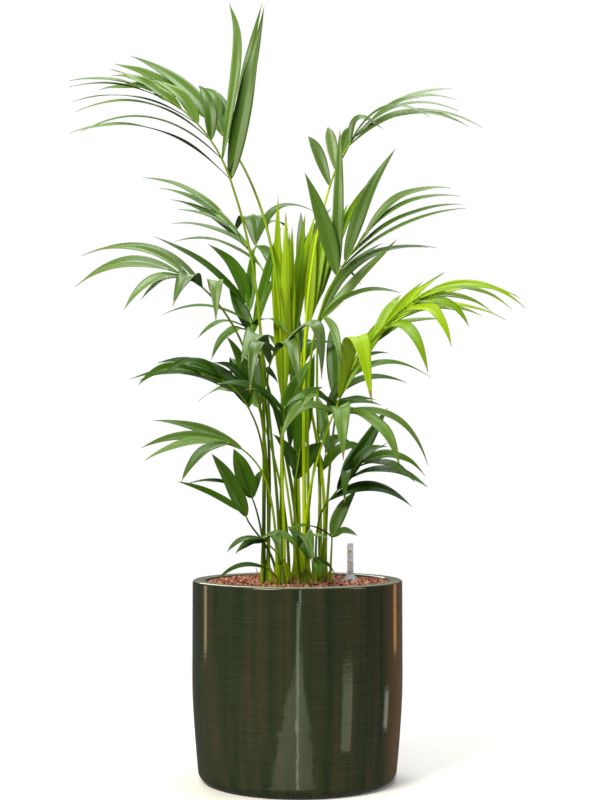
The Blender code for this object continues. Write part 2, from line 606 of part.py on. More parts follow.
def leaf_lines(frond, rib):
    """Each leaflet of a frond as its root, tip, arch and row, with a seeded unevenness."""
    rng = np.random.default_rng(sum(map(ord, frond["name"])))
    rib_length = np.linalg.norm(np.diff(rib, axis=0), axis=1).sum()
    for row in frond["leaves"]:
        for i in range(row["count"]):
            share = i / max(row["count"] - 1, 1)
            uneven = rng.normal(0, 1, 6) * (row["count"] > 1)
            start, end = row["along_rib"]
            root_share = max(start + (end - start) * share, FIRST_LEAF / rib_length)
            root = point_on(rib, min(root_share, 1))
            first, last = np.array(row["first"]), np.array(row["last"])
            tip = np.array(frond["crown"]) + first + (last - first) * share
            tip = tip + (tip - root) * STRAY_LENGTH * uneven[0] + STRAY_TIP * uneven[1:4]
            rise = row["rise"][0] + (row["rise"][1] - row["rise"][0]) * share
            rise = rise / 1000 * (1 + STRAY_RISE * uneven[4])
            yield root, tip, rise, row["turn"] + STRAY_TURN * uneven[5], row


def place_leaves(frond, axes):
    """The lines of a frond's leaflets. One that would touch another node, or a neighbour
    beyond its own root, swings nearer or further by a step. One that finds no room away from
    its neighbours crosses them, and one that still touches another node is left out."""
    name = frond["name"]
    line, rib = axes[name]
    steps = sorted(range(-TIP_STEPS, TIP_STEPS + 1), key=abs)
    t = np.linspace(0, 1, LEAF_STEPS + 1)
    outer = LEAF_STATIONS[1:]
    kept, neighbours = [], []
    for number, (root, tip, rise, turn, row) in enumerate(leaf_lines(frond, rib)):
        crossing = None
        for step in steps:
            path = arch(root, tip + FRONT * step * TIP_STEP, rise, row["sharp"], row["peak"], t)
            shape = path, row["width"], turn
            if not is_clear(name, blade(*shape, ROOM)):
                continue
            crossing = crossing or shape
            if is_clear(number, blade(*shape, ROOM, outer), neighbours):
                break
        else:
            shape = crossing
        if shape is None:
            print("no room for a leaflet of", name)
            continue
        kept.append(shape)
        set_down(name, blade(*shape))
        set_down("neighbour", blade(*shape, 0.0, outer), neighbours)
    return kept


# Objects

def clear_scene():
    for old in list(bpy.data.objects):
        bpy.data.objects.remove(old, do_unlink=True)


def paint(body, colour, roughness, metallic=0.0):
    """A material of its own for a body."""
    material = bpy.data.materials.new(body.name)
    material.use_nodes = True
    shader = material.node_tree.nodes["Principled BSDF"]
    shader.inputs["Base Color"].default_value = (*colour, 1.0)
    shader.inputs["Roughness"].default_value = roughness
    shader.inputs["Metallic"].default_value = metallic
    body.data.materials.clear()
    body.data.materials.append(material)


def add_object(name, body, smooth=True):
    vertices, faces = body
    mesh = bpy.data.meshes.new(name)
    mesh.from_pydata([tuple(v) for v in vertices], [], faces)
    work = bmesh.new()
    work.from_mesh(mesh)
    bmesh.ops.recalc_face_normals(work, faces=work.faces)
    work.to_mesh(mesh)
    work.free()
    if smooth:
        mesh.shade_smooth()
        mesh.set_sharp_from_angle(angle=np.radians(SHARP_ANGLE))
    thing = bpy.data.objects.new(name, mesh)
    bpy.context.scene.collection.objects.link(thing)
    return thing


def largest_shell(mesh):
    """Merges doubles and keeps a mesh's largest closed shell. True where it is closed."""
    work = bmesh.new()
    work.from_mesh(mesh)
    bmesh.ops.remove_doubles(work, verts=work.verts, dist=MERGE)
    left = set(work.faces)
    shells = []
    while left:
        stack = [left.pop()]
        shell = []
        while stack:
            face = stack.pop()
            shell.append(face)
            for edge in face.edges:
                for other in edge.link_faces:
                    if other in left:
                        left.remove(other)
                        stack.append(other)
        shells.append(shell)
    shells.sort(key=len, reverse=True)
    scraps = [face for shell in shells[1:] for face in shell]
    bmesh.ops.delete(work, geom=scraps, context="FACES")
    closed = all(edge.is_manifold for edge in work.edges)
    work.to_mesh(mesh)
    work.free()
    return closed


def extent(meshes):
    points = np.array([v.co for mesh in meshes for v in mesh.vertices])
    return np.concatenate([points.min(0), points.max(0)])


def fuse(core, pieces):
    """One union joins a frond's leaflets to its rib. The solver is kept that leaves a closed
    body as large as its pieces, and the leaflets' own objects go."""
    reach = extent([core.data] + [piece.data for piece in pieces])
    group = bpy.data.collections.new(core.name + "_pieces")
    bpy.context.scene.collection.children.link(group)
    for piece in pieces:
        bpy.context.scene.collection.objects.unlink(piece)
        group.objects.link(piece)
    union = core.modifiers.new("fuse", "BOOLEAN")
    union.operation = "UNION"
    union.operand_type = "COLLECTION"
    union.collection = group
    for solver in ("EXACT", "MANIFOLD"):
        union.solver = solver
        graph = bpy.context.evaluated_depsgraph_get()
        mesh = bpy.data.meshes.new_from_object(core.evaluated_get(graph))
        if largest_shell(mesh) and np.abs(extent([mesh]) - reach).max() < GAP:
            break
        print(core.name, "isn't whole by", solver)
    core.modifiers.clear()
    core.data = mesh
    for piece in pieces:
        bpy.data.objects.remove(piece, do_unlink=True)
    bpy.data.collections.remove(group)


# Sub-parts

def make_pot():
    corner = [(POT_FOOT_RADIUS - POT_CORNER * (1 - np.sin(a)), POT_CORNER * (1 - np.cos(a)))
              for a in np.radians([0, 45, 90])]
    wall = []
    for share in (0.45, 1.0):
        height = POT_CORNER + (POT_TAPER_HEIGHT - POT_CORNER) * share
        swell = np.sin(share * np.pi / 2)
        wall.append((POT_FOOT_RADIUS + (POT_RADIUS - POT_FOOT_RADIUS) * swell, height))
    inner = POT_RADIUS - POT_WALL
    lip = [(POT_RADIUS - POT_LIP * (1 - np.cos(a)), POT_HEIGHT - POT_LIP * (1 - np.sin(a)))
           for a in np.radians([0, 45, 90])]
    lip += [(inner + POT_LIP * (1 - np.sin(a)), POT_HEIGHT - POT_LIP * (1 - np.cos(a)))
            for a in np.radians([0, 45, 90])]
    profile = [(0, 0), *corner, *wall, *lip, (inner, POT_FLOOR), (0, POT_FLOOR)]
    pot = add_object("pot", turned(profile, POT_SIDES))
    paint(pot, GLAZE, 0.18)


def make_bed():
    radius = POT_RADIUS - POT_WALL - GAP
    floor = POT_FLOOR + GAP
    profile = [(0, floor), (radius, floor), (radius, BED_TOP), (0, BED_TOP)]
    bed = add_object("granule_bed", turned(profile, POT_SIDES))
    paint(bed, CLAY, 0.95)


def make_gauge():
    """The cap stands on the bed, and the tube and its float stand on the cap."""
    centre = (GAUGE_X, GAUGE_Y)
    foot = BED_TOP + GAP
    top = foot + CAP_HEIGHT
    cone = [(0, foot), (CAP_RADIUS, foot), (CAP_RADIUS, foot + CAP_RIM), (CAP_TOP_RADIUS, top), (0, top)]
    cap = add_object("gauge_cap", turned(cone, GAUGE_SIDES, centre))
    paint(cap, GREY_PLASTIC, 0.45)
    low = top + GAP
    inside = TUBE_RADIUS - TUBE_WALL
    high = low + TUBE_HEIGHT
    shell = [(0, high - TUBE_WALL), (inside, high - TUBE_WALL), (inside, low),
             (TUBE_RADIUS, low), (TUBE_RADIUS, high), (0, high)]
    clear = add_object("gauge_tube", turned(shell, GAUGE_SIDES, centre))
    paint(clear, CLEAR_PLASTIC, 0.08)
    pin = [(0, low), (FLOAT_RADIUS, low), (FLOAT_RADIUS, low + FLOAT_HEIGHT), (0, low + FLOAT_HEIGHT)]
    mark = add_object("gauge_float", turned(pin, FLOAT_SIDES, centre))
    paint(mark, RED_PLASTIC, 0.4)
    for thing in (cap, clear, mark):
        corners = np.array([v.co for v in thing.data.vertices])
        set_down(thing.name, (corners, [tuple(f.vertices) for f in thing.data.polygons]))


def make_canes():
    for cane in CANES:
        line = cane_line(cane)
        body = tube(line, np.tile(UP, (len(line), 1)), CANE_RADII, CANE_SIDES)
        set_down("cane_%d" % cane, body)
        paint(add_object("cane_%d" % cane, body), CANE_BROWN, 0.85)


def make_frond(frond, axes):
    name = frond["name"]
    line, rib = axes[name]
    leaves = place_leaves(frond, axes)
    if frond["short"]:
        path = np.vstack([line, rib[4::4]])
        along = directions(path)
        along[0] = UP
        radii = stalk_radii(line)
        radii = np.append(radii, np.linspace(radii[-1], RIB_TIP_RADIUS, len(path) - len(line)))
        core = add_object("frond_" + name, tube(path, along, radii, STALK_SIDES))
    else:
        stalk = add_object("stalk_" + name, stalk_body(line, rib))
        paint(stalk, STALK_GREEN, 0.5)
        core = add_object("frond_" + name, rib_body(rib, stalk_radii(line)[-1]))
    pieces = [add_object("%s_leaf_%d" % (name, i), blade(*leaf_data))
              for i, leaf_data in enumerate(leaves)]
    fuse(core, pieces)
    paint(core, TINTS[frond["tint"]], 0.45)
    return len(leaves)


def main():
    clear_scene()
    make_pot()
    make_bed()
    make_gauge()
    make_canes()
    axes = place_axes()
    count = sum(make_frond(frond, axes) for frond in FRONDS)
    print("leaflets:", count)


main()
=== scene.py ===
# %% [markdown]
# # A kentia palm in a glazed planter
#
# The real object is a clump of young palms in a heavy cylinder of glazed stoneware. The solids
# of the palm were modelled first, at their real size, and this script dresses them: a fine
# surface for every piece, its finish, soft light, and a camera where the photographer stood.
# We load the solids before anything else, so that each new piece can be worked out from them.

import bpy
import numpy as np
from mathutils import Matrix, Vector


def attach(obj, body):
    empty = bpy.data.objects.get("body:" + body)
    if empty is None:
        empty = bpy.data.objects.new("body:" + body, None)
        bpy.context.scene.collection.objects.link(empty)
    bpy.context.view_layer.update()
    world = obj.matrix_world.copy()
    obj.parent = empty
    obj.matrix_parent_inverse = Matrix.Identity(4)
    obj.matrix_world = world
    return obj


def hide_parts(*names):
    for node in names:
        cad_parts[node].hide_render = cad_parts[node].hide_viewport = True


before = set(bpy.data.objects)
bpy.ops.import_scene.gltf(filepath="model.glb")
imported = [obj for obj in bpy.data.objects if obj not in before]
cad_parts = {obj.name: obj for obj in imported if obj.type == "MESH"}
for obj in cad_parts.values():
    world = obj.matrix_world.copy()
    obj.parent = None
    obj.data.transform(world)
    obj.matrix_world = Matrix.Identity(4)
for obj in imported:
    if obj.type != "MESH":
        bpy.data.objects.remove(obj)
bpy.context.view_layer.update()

# %% [markdown]
# ## The camera
#
# The photograph looks almost level at the palm from about three metres, through a lens somewhat
# longer than normal, which keeps the planter's sides nearly upright. We could guess the place
# and turn it by hand, but the planter's round top and foot are measured ellipses, and the place
# follows from them. So the camera is given by its place, its tilt and its lens alone.

# %% Camera
CAMERA_PLACE = (0.0052, -2.97, 0.633)
CAMERA_TILT = 2.71
LENS, SENSOR = 64.7, 36.0

camera_data = bpy.data.cameras.new("camera")
camera_data.lens, camera_data.sensor_width = LENS, SENSOR
camera_data.clip_start, camera_data.clip_end = 0.05, 60.0
camera = bpy.data.objects.new("camera", camera_data)
camera.location = CAMERA_PLACE
camera.rotation_euler = np.radians([90 + CAMERA_TILT, 0.0, 0.0])
bpy.context.scene.collection.objects.link(camera)
bpy.context.scene.camera = camera
print("camera at", CAMERA_PLACE, "tilted up", CAMERA_TILT, "degrees")

# %% [markdown]
# ## Colours and nodes
#
# Colours are written as sRGB hex values, the way a maker's colour card gives them, but Blender's
# shaders count light, so each value is turned to linear once, here. A material is a small tree
# of nodes. One helper adds a node with its settings and links, which keeps every tree readable.

# %% Helpers for materials
def linear(code):
    """An sRGB hex colour as linear red, green, blue and alpha."""
    value = np.array([int(code[i:i + 2], 16) for i in (1, 3, 5)]) / 255
    value = np.where(value <= 0.04045, value / 12.92, ((value + 0.055) / 1.055) ** 2.4)
    return (*value.tolist(), 1.0)


def add(tree, kind, settings=None, stops=(), **links):
    """Adds a node. Settings are its attributes, or its sockets where the name is a socket's.
    Stops are a colour ramp's, as (place, hex colour). A link gives a socket's name, with _ for
    a space, and the output that feeds it."""
    node = tree.nodes.new(kind)
    for name, value in (settings or {}).items():
        if name in node.inputs:
            node.inputs[name].default_value = value
        else:
            setattr(node, name, value)
    for _ in stops[2:]:
        node.color_ramp.elements.new(0.5)
    for number, (place, code) in enumerate(stops):
        mark = node.color_ramp.elements[number]
        mark.position, mark.color = place, linear(code)
    for name, output in links.items():
        tree.links.new(output, node.inputs[name.replace("_", " ")])
    return node


def start(name, **sockets):
    """A new material, its tree, and its Principled shader with plain values on its sockets."""
    material = bpy.data.materials.new(name)
    material.use_nodes = True
    shader = material.node_tree.nodes["Principled BSDF"]
    for socket, value in sockets.items():
        shader.inputs[socket.replace("_", " ")].default_value = value
    return material, material.node_tree, shader


def grained(name, scales, detail=3.0, tones=(), depth=0.0, on="Object", **sockets):
    """A material with one grain: a noise, drawn out by three scales, on the object or on its own
    UV map. It shades the colour through tones, where there are any, and lifts the surface by
    a depth in metres."""
    material, tree, shader = start(name, **sockets)
    place = add(tree, "ShaderNodeTexCoord").outputs[on]
    drawn = add(tree, "ShaderNodeMapping", {"Scale": scales}, Vector=place).outputs["Vector"]
    noise = add(tree, "ShaderNodeTexNoise", {"Scale": 1.0, "Detail": detail}, Vector=drawn)
    noise = noise.outputs["Fac"]
    if tones:
        shade = add(tree, "ShaderNodeValToRGB", stops=tones, Fac=noise)
        tree.links.new(shade.outputs["Color"], shader.inputs["Base Color"])
    if depth:
        relief = add(tree, "ShaderNodeBump", {"Distance": depth, "Strength": 1.0}, Height=noise)
        tree.links.new(relief.outputs["Normal"], shader.inputs["Normal"])
    return material


print("dark leaf green in linear light:", np.round(linear("#4B6630"), 3))

# %% [markdown]
# ## From arrays to meshes
#
# Every new piece here is a surface of two parameters: how far along it, and how far round or
# across it. Numpy works out all its points at once, ring by ring, and the faces follow from the
# counts alone. A tube, a leaflet and a shard of old sheath are all the same thing, a stack of
# closed rings, so one function makes the faces for all of them and closes both ends.

# %% Helpers for meshes
def ring_faces(rings, around):
    """Quads between each ring and the next. Each end is closed by a strip from side to side."""
    low = np.arange(rings - 1)[:, None] * around
    j = np.arange(around)
    k = (j + 1) % around
    faces = np.stack([low + j, low + k, low + around + k, low + around + j], -1).reshape(-1, 4)
    j = np.arange(around // 2 - 1)
    cap = np.stack([j, around - 1 - j, around - 2 - j, j + 1], 1)
    return np.vstack([faces, cap, cap[:, ::-1] + (rings - 1) * around])


def stacked(bodies):
    """Bodies of (rings, ...) as one mesh: the points of all rings, the faces between them, and
    whatever else each body brings for its faces or points."""
    faces, count = [], 0
    for rings, *_ in bodies:
        faces.append(ring_faces(*rings.shape[:2]) + count)
        count += rings.size // 3
    points = np.vstack([rings.reshape(-1, 3) for rings, *_ in bodies])
    return points, np.vstack(faces), *(np.concatenate(rest) for rest in list(zip(*bodies))[1:])


def piece(name, points, faces, kinds=None, uv=None, materials=()):
    """A smooth mesh object at the origin: a material number for each face, and a place on the
    piece's own UV map for each point."""
    mesh = bpy.data.meshes.new(name)
    mesh.vertices.add(len(points))
    mesh.vertices.foreach_set("co", points.astype(np.float32).ravel())
    mesh.loops.add(faces.size)
    mesh.loops.foreach_set("vertex_index", faces.astype(np.int32).ravel())
    mesh.polygons.add(len(faces))
    starts = np.arange(0, faces.size, faces.shape[1], dtype=np.int32)
    mesh.polygons.foreach_set("loop_start", starts)
    for material in materials:
        mesh.materials.append(material)
    if kinds is not None:
        mesh.polygons.foreach_set("material_index", kinds.astype(np.int32))
    if uv is not None:
        layer = mesh.uv_layers.new(name="surface")
        layer.data.foreach_set("uv", uv.reshape(-1, 2)[faces.ravel()].astype(np.float32).ravel())
    mesh.update(calc_edges=True)
    mesh.shade_smooth()
    thing = bpy.data.objects.new(name, mesh)
    bpy.context.scene.collection.objects.link(thing)
    print(name, "has", (faces.shape[1] - 2) * len(faces), "triangles")
    return thing


# %% [markdown]
# ## The floor and the light
#
# The palm stands on a pale studio floor under soft light. A photographer's white paper runs on
# behind the subject with no edge. Ours is a flat sheet that fades into the white around it with
# its distance, so it looks the same from every side. A large soft box above and to the left
# models the leaves, and weaker ones fill in. A glossy cylinder mirrors a squeezed view of the
# whole room: what stands in front of it becomes an upright line, and what lies on the floor a
# wedge that widens downwards. So glowing cards lie low over the floor, and narrow strips stand
# round the planter.

# %% Lamps
# Each lamp's place, size, power in watts and colour
AIM_HEIGHT = 0.75
LAMPS = {
    "key": ((-1.8, -2.2, 3.0), (1.5, 1.5), 185.0, "#FFFBEA"),
    "above": ((0.4, 0.3, 3.4), (1.6, 1.6), 80.0, "#FFFFFF"),
    "right": ((2.7, -1.0, 1.7), (0.8, 1.6), 26.0, "#FFFFFF"),
    "behind": ((-0.9, 2.8, 2.4), (1.8, 1.8), 50.0, "#FFFFF4"),
    "strip_front": ((0.17, -3.35, 1.15), (0.07, 2.2), 5.0, "#FFFFFF"),
    "strip_left": ((-1.85, 0.80, 0.40), (0.20, 0.75), 1.8, "#E8C89A"),
    "strip_right": ((1.75, 1.35, 0.45), (0.30, 0.90), 2.0, "#F0B070"),
}


def lamp(name, place, size, power, colour):
    """A soft box: a rectangle of light that faces the palm. A strip faces it level."""
    data = bpy.data.lights.new(name, "AREA")
    data.shape, data.size, data.size_y, data.energy = "RECTANGLE", *size, power
    data.color = linear(colour)[:3]
    thing = bpy.data.objects.new(name, data)
    thing.location = place
    aim = Vector((0, 0, place[2] if name.startswith("strip") else AIM_HEIGHT)) - Vector(place)
    thing.rotation_euler = aim.to_track_quat("-Z", "Y").to_euler()
    thing.visible_camera = False
    bpy.context.scene.collection.objects.link(thing)


for lamp_name, settings in LAMPS.items():
    lamp(lamp_name, *settings)
print("lamps:", ", ".join(LAMPS))

# %% Cards in the glaze
# Each card's glow, how torn its edges are, and its stations
GLAZE_RADIUS, CARD_STEPS, CARD_LOWEST, CARD_GAP = 0.215, 48, 0.004, 0.001
CARDS = {
    "card_wedge": (0.7, 0.05, ((0.02, -0.057, 0.034), (0.25, -0.038, 0.027),
                               (0.70, -0.024, 0.019), (1.7, -0.007, 0.008))),
    "card_side_of_wedge": (1.2, 0.12, ((0.02, -0.001, 0.020), (2.2, -0.001, 0.008))),
    "card_line": (7.0, 0.30, ((0.02, -0.0016, 0.0022), (1.2, -0.0016, 0.0025),
                              (2.4, -0.0010, 0.0035), (4.5, 0.0, 0.002))),
    "card_window": (1.6, 0.02, ((0.24, 0.087, 0.106), (1.75, 0.087, 0.106))),
    "card_side": (1.2, 0.05, ((0.45, 0.172, 0.180), (1.1, 0.172, 0.180))),
}


def mirrored(x, reach):
    """Where the camera sees the floor in the glaze: from the wall's points at x, at twice the
    angle of the wall there plus the slant of the camera's own ray, and a reach away."""
    turn = np.arcsin(x / GLAZE_RADIUS)
    point = GLAZE_RADIUS * np.stack([np.sin(turn), -np.cos(turn)], -1)
    bearing = 2 * turn + np.arctan2(x, point[:, 1] - CAMERA_PLACE[1])
    return point + reach[:, None] * np.stack([np.sin(bearing), -np.cos(bearing)], -1)


def card(name, height, glow, torn, stations, rng):
    """A glowing card over the floor, seen only in the glaze. Each station gives its reach from
    the wall and the two places, from left to right on the wall, where its edges are seen. In
    between, the edges are torn: they stray from the straight line by a share of its width."""
    reach, left, right = np.array(stations).T
    steps = np.geomspace(reach[0], reach[-1], CARD_STEPS)
    left, right = (np.interp(steps, reach, edge) for edge in (left, right))
    edges = np.stack([left, right]) + rng.normal(0, torn, (2, CARD_STEPS)) * (right - left)
    points = np.stack([mirrored(edge, steps) for edge in edges], 1)
    points = np.dstack([points, np.full((CARD_STEPS, 2), height)]).reshape(-1, 3)
    low = 2 * np.arange(CARD_STEPS - 1)[:, None]
    glowing, _, _ = start(name, Emission_Color=linear("#EDF2E6"), Emission_Strength=glow)
    thing = piece(name, points, low + [0, 2, 3, 1], materials=[glowing])
    for rays in ("camera", "diffuse", "transmission", "volume_scatter", "shadow"):
        setattr(thing, "visible_" + rays, False)


rng = np.random.default_rng(8)
for number, (card_name, settings) in enumerate(CARDS.items()):
    card(card_name, CARD_LOWEST + CARD_GAP * number, *settings, rng)

# %% Room and paper
FLOOR_RADIUS, FADE_START, FADE_END = 6.0, 0.4, 1.3
ROOM_GLOW, MIRRORED_GLOW = 0.12, 0.10
world = bpy.data.worlds.new("studio")
world.use_nodes = True
tree = world.node_tree
ray = add(tree, "ShaderNodeLightPath").outputs
room = add(tree, "ShaderNodeMapRange", {"To Min": ROOM_GLOW, "To Max": MIRRORED_GLOW},
           Value=ray["Is Glossy Ray"])
straight = add(tree, "ShaderNodeMath", {"operation": "MAXIMUM"})
tree.links.new(ray["Is Camera Ray"], straight.inputs[0])
tree.links.new(ray["Is Transmission Ray"], straight.inputs[1])
seen = add(tree, "ShaderNodeMapRange", {"To Max": 1.0}, Value=straight.outputs["Value"],
           To_Min=room.outputs["Result"])
tree.links.new(seen.outputs["Result"], tree.nodes["Background"].inputs["Strength"])
tree.nodes["Background"].inputs["Color"].default_value = linear("#FFFFFF")
bpy.context.scene.world = world
bpy.context.scene.view_settings.view_transform = "Standard"

# Studio paper: matt, with the faint tooth of its fibres, about 3 mm apart
paper = grained("studio_paper", (300,) * 3, tones=[(0.3, "#F2F2F0"), (0.7, "#F6F6F4")],
                Roughness=0.9, Specular_IOR_Level=0.2)
tree = paper.node_tree
away = add(tree, "ShaderNodeVectorMath", {"operation": "LENGTH"})
tree.links.new(add(tree, "ShaderNodeTexCoord").outputs["Object"], away.inputs[0])
fade = add(tree, "ShaderNodeMapRange", {"From Min": FADE_START, "From Max": FADE_END, "To Min": 1.0,
                                        "To Max": 0.0, "interpolation_type": "SMOOTHSTEP"},
           Value=away.outputs["Value"])
tree.links.new(fade.outputs["Result"], tree.nodes["Principled BSDF"].inputs["Alpha"])
edge = FLOOR_RADIUS * np.array([[-1, -1, 0], [1, -1, 0], [1, 1, 0], [-1, 1, 0]])
floor = piece("floor", edge, np.array([[0, 1, 2, 3]]), materials=[paper])
floor.visible_glossy = False
print("the paper fades out between", FADE_START, "and", FADE_END, "m")

# %% [markdown]
# ## The planter
#
# The planter is thrown stoneware, a thick cylinder that narrows a little to its foot, with a
# softly rounded lip. It could be a cylinder with a Bevel and a Solidify modifier, but a potter
# turns one profile round one axis, and so do we: a list of radii and heights, carried round Z.
# The sizes are the solid's own, with finer steps, so the new wall lies on the old one.

# %% Planter
POT_RADIUS, POT_FOOT_RADIUS, POT_HEIGHT, POT_WALL = 0.215, 0.203, 0.405, 0.028
POT_FLOOR, POT_TAPER_HEIGHT, POT_CORNER, POT_LIP = 0.030, 0.22, 0.022, 0.006
POT_SIDES, POLE, LINING_RINGS = 180, 0.004, 6


def turned(profile, sides, centre=(0.0, 0.0)):
    """A profile carried round Z: every (radius, height) gives the ring (r cos a, r sin a, z).
    The profile starts and ends beside the axis, where a small cap closes it."""
    radius, height = np.array(profile).T[:, :, None]
    angle = np.arange(sides) * 2 * np.pi / sides
    x, y = centre[0] + radius * np.cos(angle), centre[1] + radius * np.sin(angle)
    return np.stack([x, y, height + 0 * angle], -1).reshape(-1, 3), ring_faces(len(profile), sides)


inner = POT_RADIUS - POT_WALL
turn = np.radians(np.linspace(0, 90, 9))
share = np.linspace(0, 1, 20)[1:]
profile = np.vstack([
    [(POLE, 0.0)],
    np.stack([POT_FOOT_RADIUS - POT_CORNER * (1 - np.sin(turn)),
              POT_CORNER * (1 - np.cos(turn))], 1),
    np.stack([POT_FOOT_RADIUS + (POT_RADIUS - POT_FOOT_RADIUS) * np.sin(share * np.pi / 2),
              POT_CORNER + (POT_TAPER_HEIGHT - POT_CORNER) * share], 1),
    [(POT_RADIUS, z) for z in np.linspace(POT_TAPER_HEIGHT, POT_HEIGHT - POT_LIP, 8)[1:-1]],
    np.stack([POT_RADIUS - POT_LIP * (1 - np.cos(turn)),
              POT_HEIGHT - POT_LIP * (1 - np.sin(turn))], 1),
    np.stack([inner + POT_LIP * (1 - np.sin(turn)), POT_HEIGHT - POT_LIP * (1 - np.cos(turn))], 1),
    [(inner, POT_HEIGHT - 2 * POT_LIP), (inner, POT_FLOOR), (POLE, POT_FLOOR)],
])
print("the planter's profile has", len(profile), "points")

# %% Glaze
# Glazed stoneware: dark olive glass over clay, laid on with a brush while the pot turned, so
# fine level streaks cross broad upright bands where the glaze ran. It is hard and mirror-like.
glaze, tree, shader = start("glazed_stoneware", Roughness=0.07, IOR=1.45)
shader.inputs["Specular Tint"].default_value = linear("#D5D9C0")
STREAK, BAND, RIPPLE_DEPTH = 0.0017, 0.022, 0.00009
# The span in x of the painted warm reflection, and the heights of the lip's pale band: thin glaze
# and a painted highlight
WARM_REFLECTION_SIDE, LIP_THIN_GLAZE_AND_HIGHLIGHT = (0.165, 0.212), (POT_HEIGHT - 0.0022, POT_HEIGHT - 0.0008)
spot = add(tree, "ShaderNodeTexCoord").outputs["Object"]
streak, band, ripple = (
    add(tree, "ShaderNodeTexNoise", {"Scale": 1.0, "Detail": detail, "Roughness": rough},
        Vector=add(tree, "ShaderNodeMapping", {"Scale": scales}, Vector=spot).outputs["Vector"])
    for scales, detail, rough in (((14, 14, 1 / STREAK), 5, 0.78),
                                  ((1 / BAND, 1 / BAND, 1.6), 3, 0.5), ((45, 45, 300), 2, 0.5)))
brushed = add(tree, "ShaderNodeValToRGB", Fac=streak.outputs["Fac"], stops=[
    (0.30, "#9C9E8C"), (0.48, "#B8BAA6"), (0.60, "#CACCB8"), (0.74, "#ECEEDA")])
run = add(tree, "ShaderNodeValToRGB", Fac=band.outputs["Fac"], stops=[
    (0.34, "#353F33"), (0.45, "#3F4739"), (0.54, "#46493B"), (0.64, "#4F4C40")])
colour = add(tree, "ShaderNodeMixRGB", {"blend_type": "MULTIPLY", "Fac": 1.0},
             Color1=brushed.outputs["Color"], Color2=run.outputs["Color"])
# A painted warm reflection turns it brown towards the right side. Along the lip, where the
# glaze is thin, it turns pale, and that pale band is also a painted highlight
place = add(tree, "ShaderNodeSeparateXYZ", Vector=spot)
for axis, (first, last), most, tone in (("X", WARM_REFLECTION_SIDE, 0.6, "#7C5434"),
                                        ("Z", LIP_THIN_GLAZE_AND_HIGHLIGHT, 1.0, "#8A8E7C")):
    share = add(tree, "ShaderNodeMapRange", {"From Min": first, "From Max": last, "To Max": most},
                Value=place.outputs[axis])
    colour = add(tree, "ShaderNodeMixRGB", {"Color2": linear(tone)},
                 Fac=share.outputs["Result"], Color1=colour.outputs["Color"])
tree.links.new(colour.outputs["Color"], shader.inputs["Base Color"])
relief = add(tree, "ShaderNodeBump", {"Distance": RIPPLE_DEPTH, "Strength": 1.0},
             Height=ripple.outputs["Fac"])
tree.links.new(relief.outputs["Normal"], shader.inputs["Normal"])

# The same glaze inside, thinner, where the clay's own tan comes through
lining = grained("glazed_lining", (8, 8, 160), tones=[(0.35, "#5C4E2E"), (0.65, "#84734A")],
                 Roughness=0.35, IOR=1.45)

points, faces = turned(profile, POT_SIDES)
lined = np.arange(len(profile) - 1) >= len(profile) - LINING_RINGS
kinds = np.append(np.repeat(lined, POT_SIDES), [False] * (POT_SIDES - 2))
planter = piece("planter", points, faces, kinds, materials=[glaze, lining])
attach(planter, "root")
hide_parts("pot")

# %% [markdown]
# ## The clay granules
#
# The planter is filled with fired clay granules, reddish brown balls of 5 to 7 mm that hold
# water for the roots. A particle system could scatter them, but the finished object must be
# plain meshes. One small ball is worked out once and set down a few thousand times on a loose
# honeycomb, each with its own size, turn and squash, all in one array. The solid bed below
# them stays, and shows between them as the next layer down, coloured dark as painted shade.

# %% Granules
BED_TOP, BED_RADIUS = 0.396, 0.187
GRANULE_PITCH, GRANULE_STRAY, GRANULE_EDGE = 0.0064, 0.0009, 0.003
GRANULE_SIZES, GRANULE_SQUASH, GRANULE_HEAP = (0.0023, 0.0037), (0.82, 1.12), (-0.0015, 0.0042)


def ball(cells):
    """A unit ball of even cells: each side of a cube is pushed out to the radius, and the points
    that its sides share are kept once."""
    line = np.tan(np.linspace(-1, 1, cells + 1) * np.pi / 4)
    u, v = (grid.ravel() for grid in np.meshgrid(line, line, indexing="ij"))
    one = np.ones_like(u)
    sides = [(one, u, v), (-one, v, u), (v, one, u), (u, -one, v), (u, v, one), (v, u, -one)]
    points = np.vstack([np.stack(side, 1) for side in sides])
    i, j = (grid.ravel() for grid in np.mgrid[0:cells, 0:cells])
    low = i * (cells + 1) + j
    quads = np.stack([low, low + cells + 1, low + cells + 2, low + 1], 1)
    faces = np.vstack([quads + k * len(u) for k in range(6)])
    _, first, same = np.unique(points.round(6), axis=0, return_index=True, return_inverse=True)
    points = points[first] / np.linalg.norm(points[first], axis=1, keepdims=True)
    return points, same.ravel()[faces]


def scattered(shape, faces, places, sizes, rng):
    """A copy of a shape at each place, with its own size, squash and turn."""
    count = len(places)
    squash = rng.uniform(*GRANULE_SQUASH, (count, 1, 3)) * sizes[:, None, None]
    turns, _ = np.linalg.qr(rng.normal(0, 1, (count, 3, 3)))
    turns *= np.sign(np.linalg.det(turns))[:, None, None]
    points = (shape[None] * squash) @ turns.transpose(0, 2, 1) + places[:, None]
    moved = faces[None] + len(shape) * np.arange(count)[:, None, None]
    return points.reshape(-1, 3), moved.reshape(-1, 4)


rng = np.random.default_rng(21)
rows = int(BED_RADIUS / GRANULE_PITCH) + 2
i, j = (grid.ravel() for grid in np.mgrid[-rows:rows + 1, -rows:rows + 1])
comb = GRANULE_PITCH * np.stack([i + (j % 2) / 2, j * np.sqrt(0.75)], 1)
comb = comb + rng.normal(0, GRANULE_STRAY, comb.shape)
comb = comb[np.hypot(*comb.T) < BED_RADIUS - GRANULE_EDGE]
sizes = rng.uniform(*GRANULE_SIZES, len(comb))
heights = BED_TOP + rng.uniform(*GRANULE_HEAP, len(comb))
ball_points, ball_faces = ball(2)
points, faces = scattered(ball_points, ball_faces, np.column_stack([comb, heights]), sizes, rng)
print(len(comb), "granules")

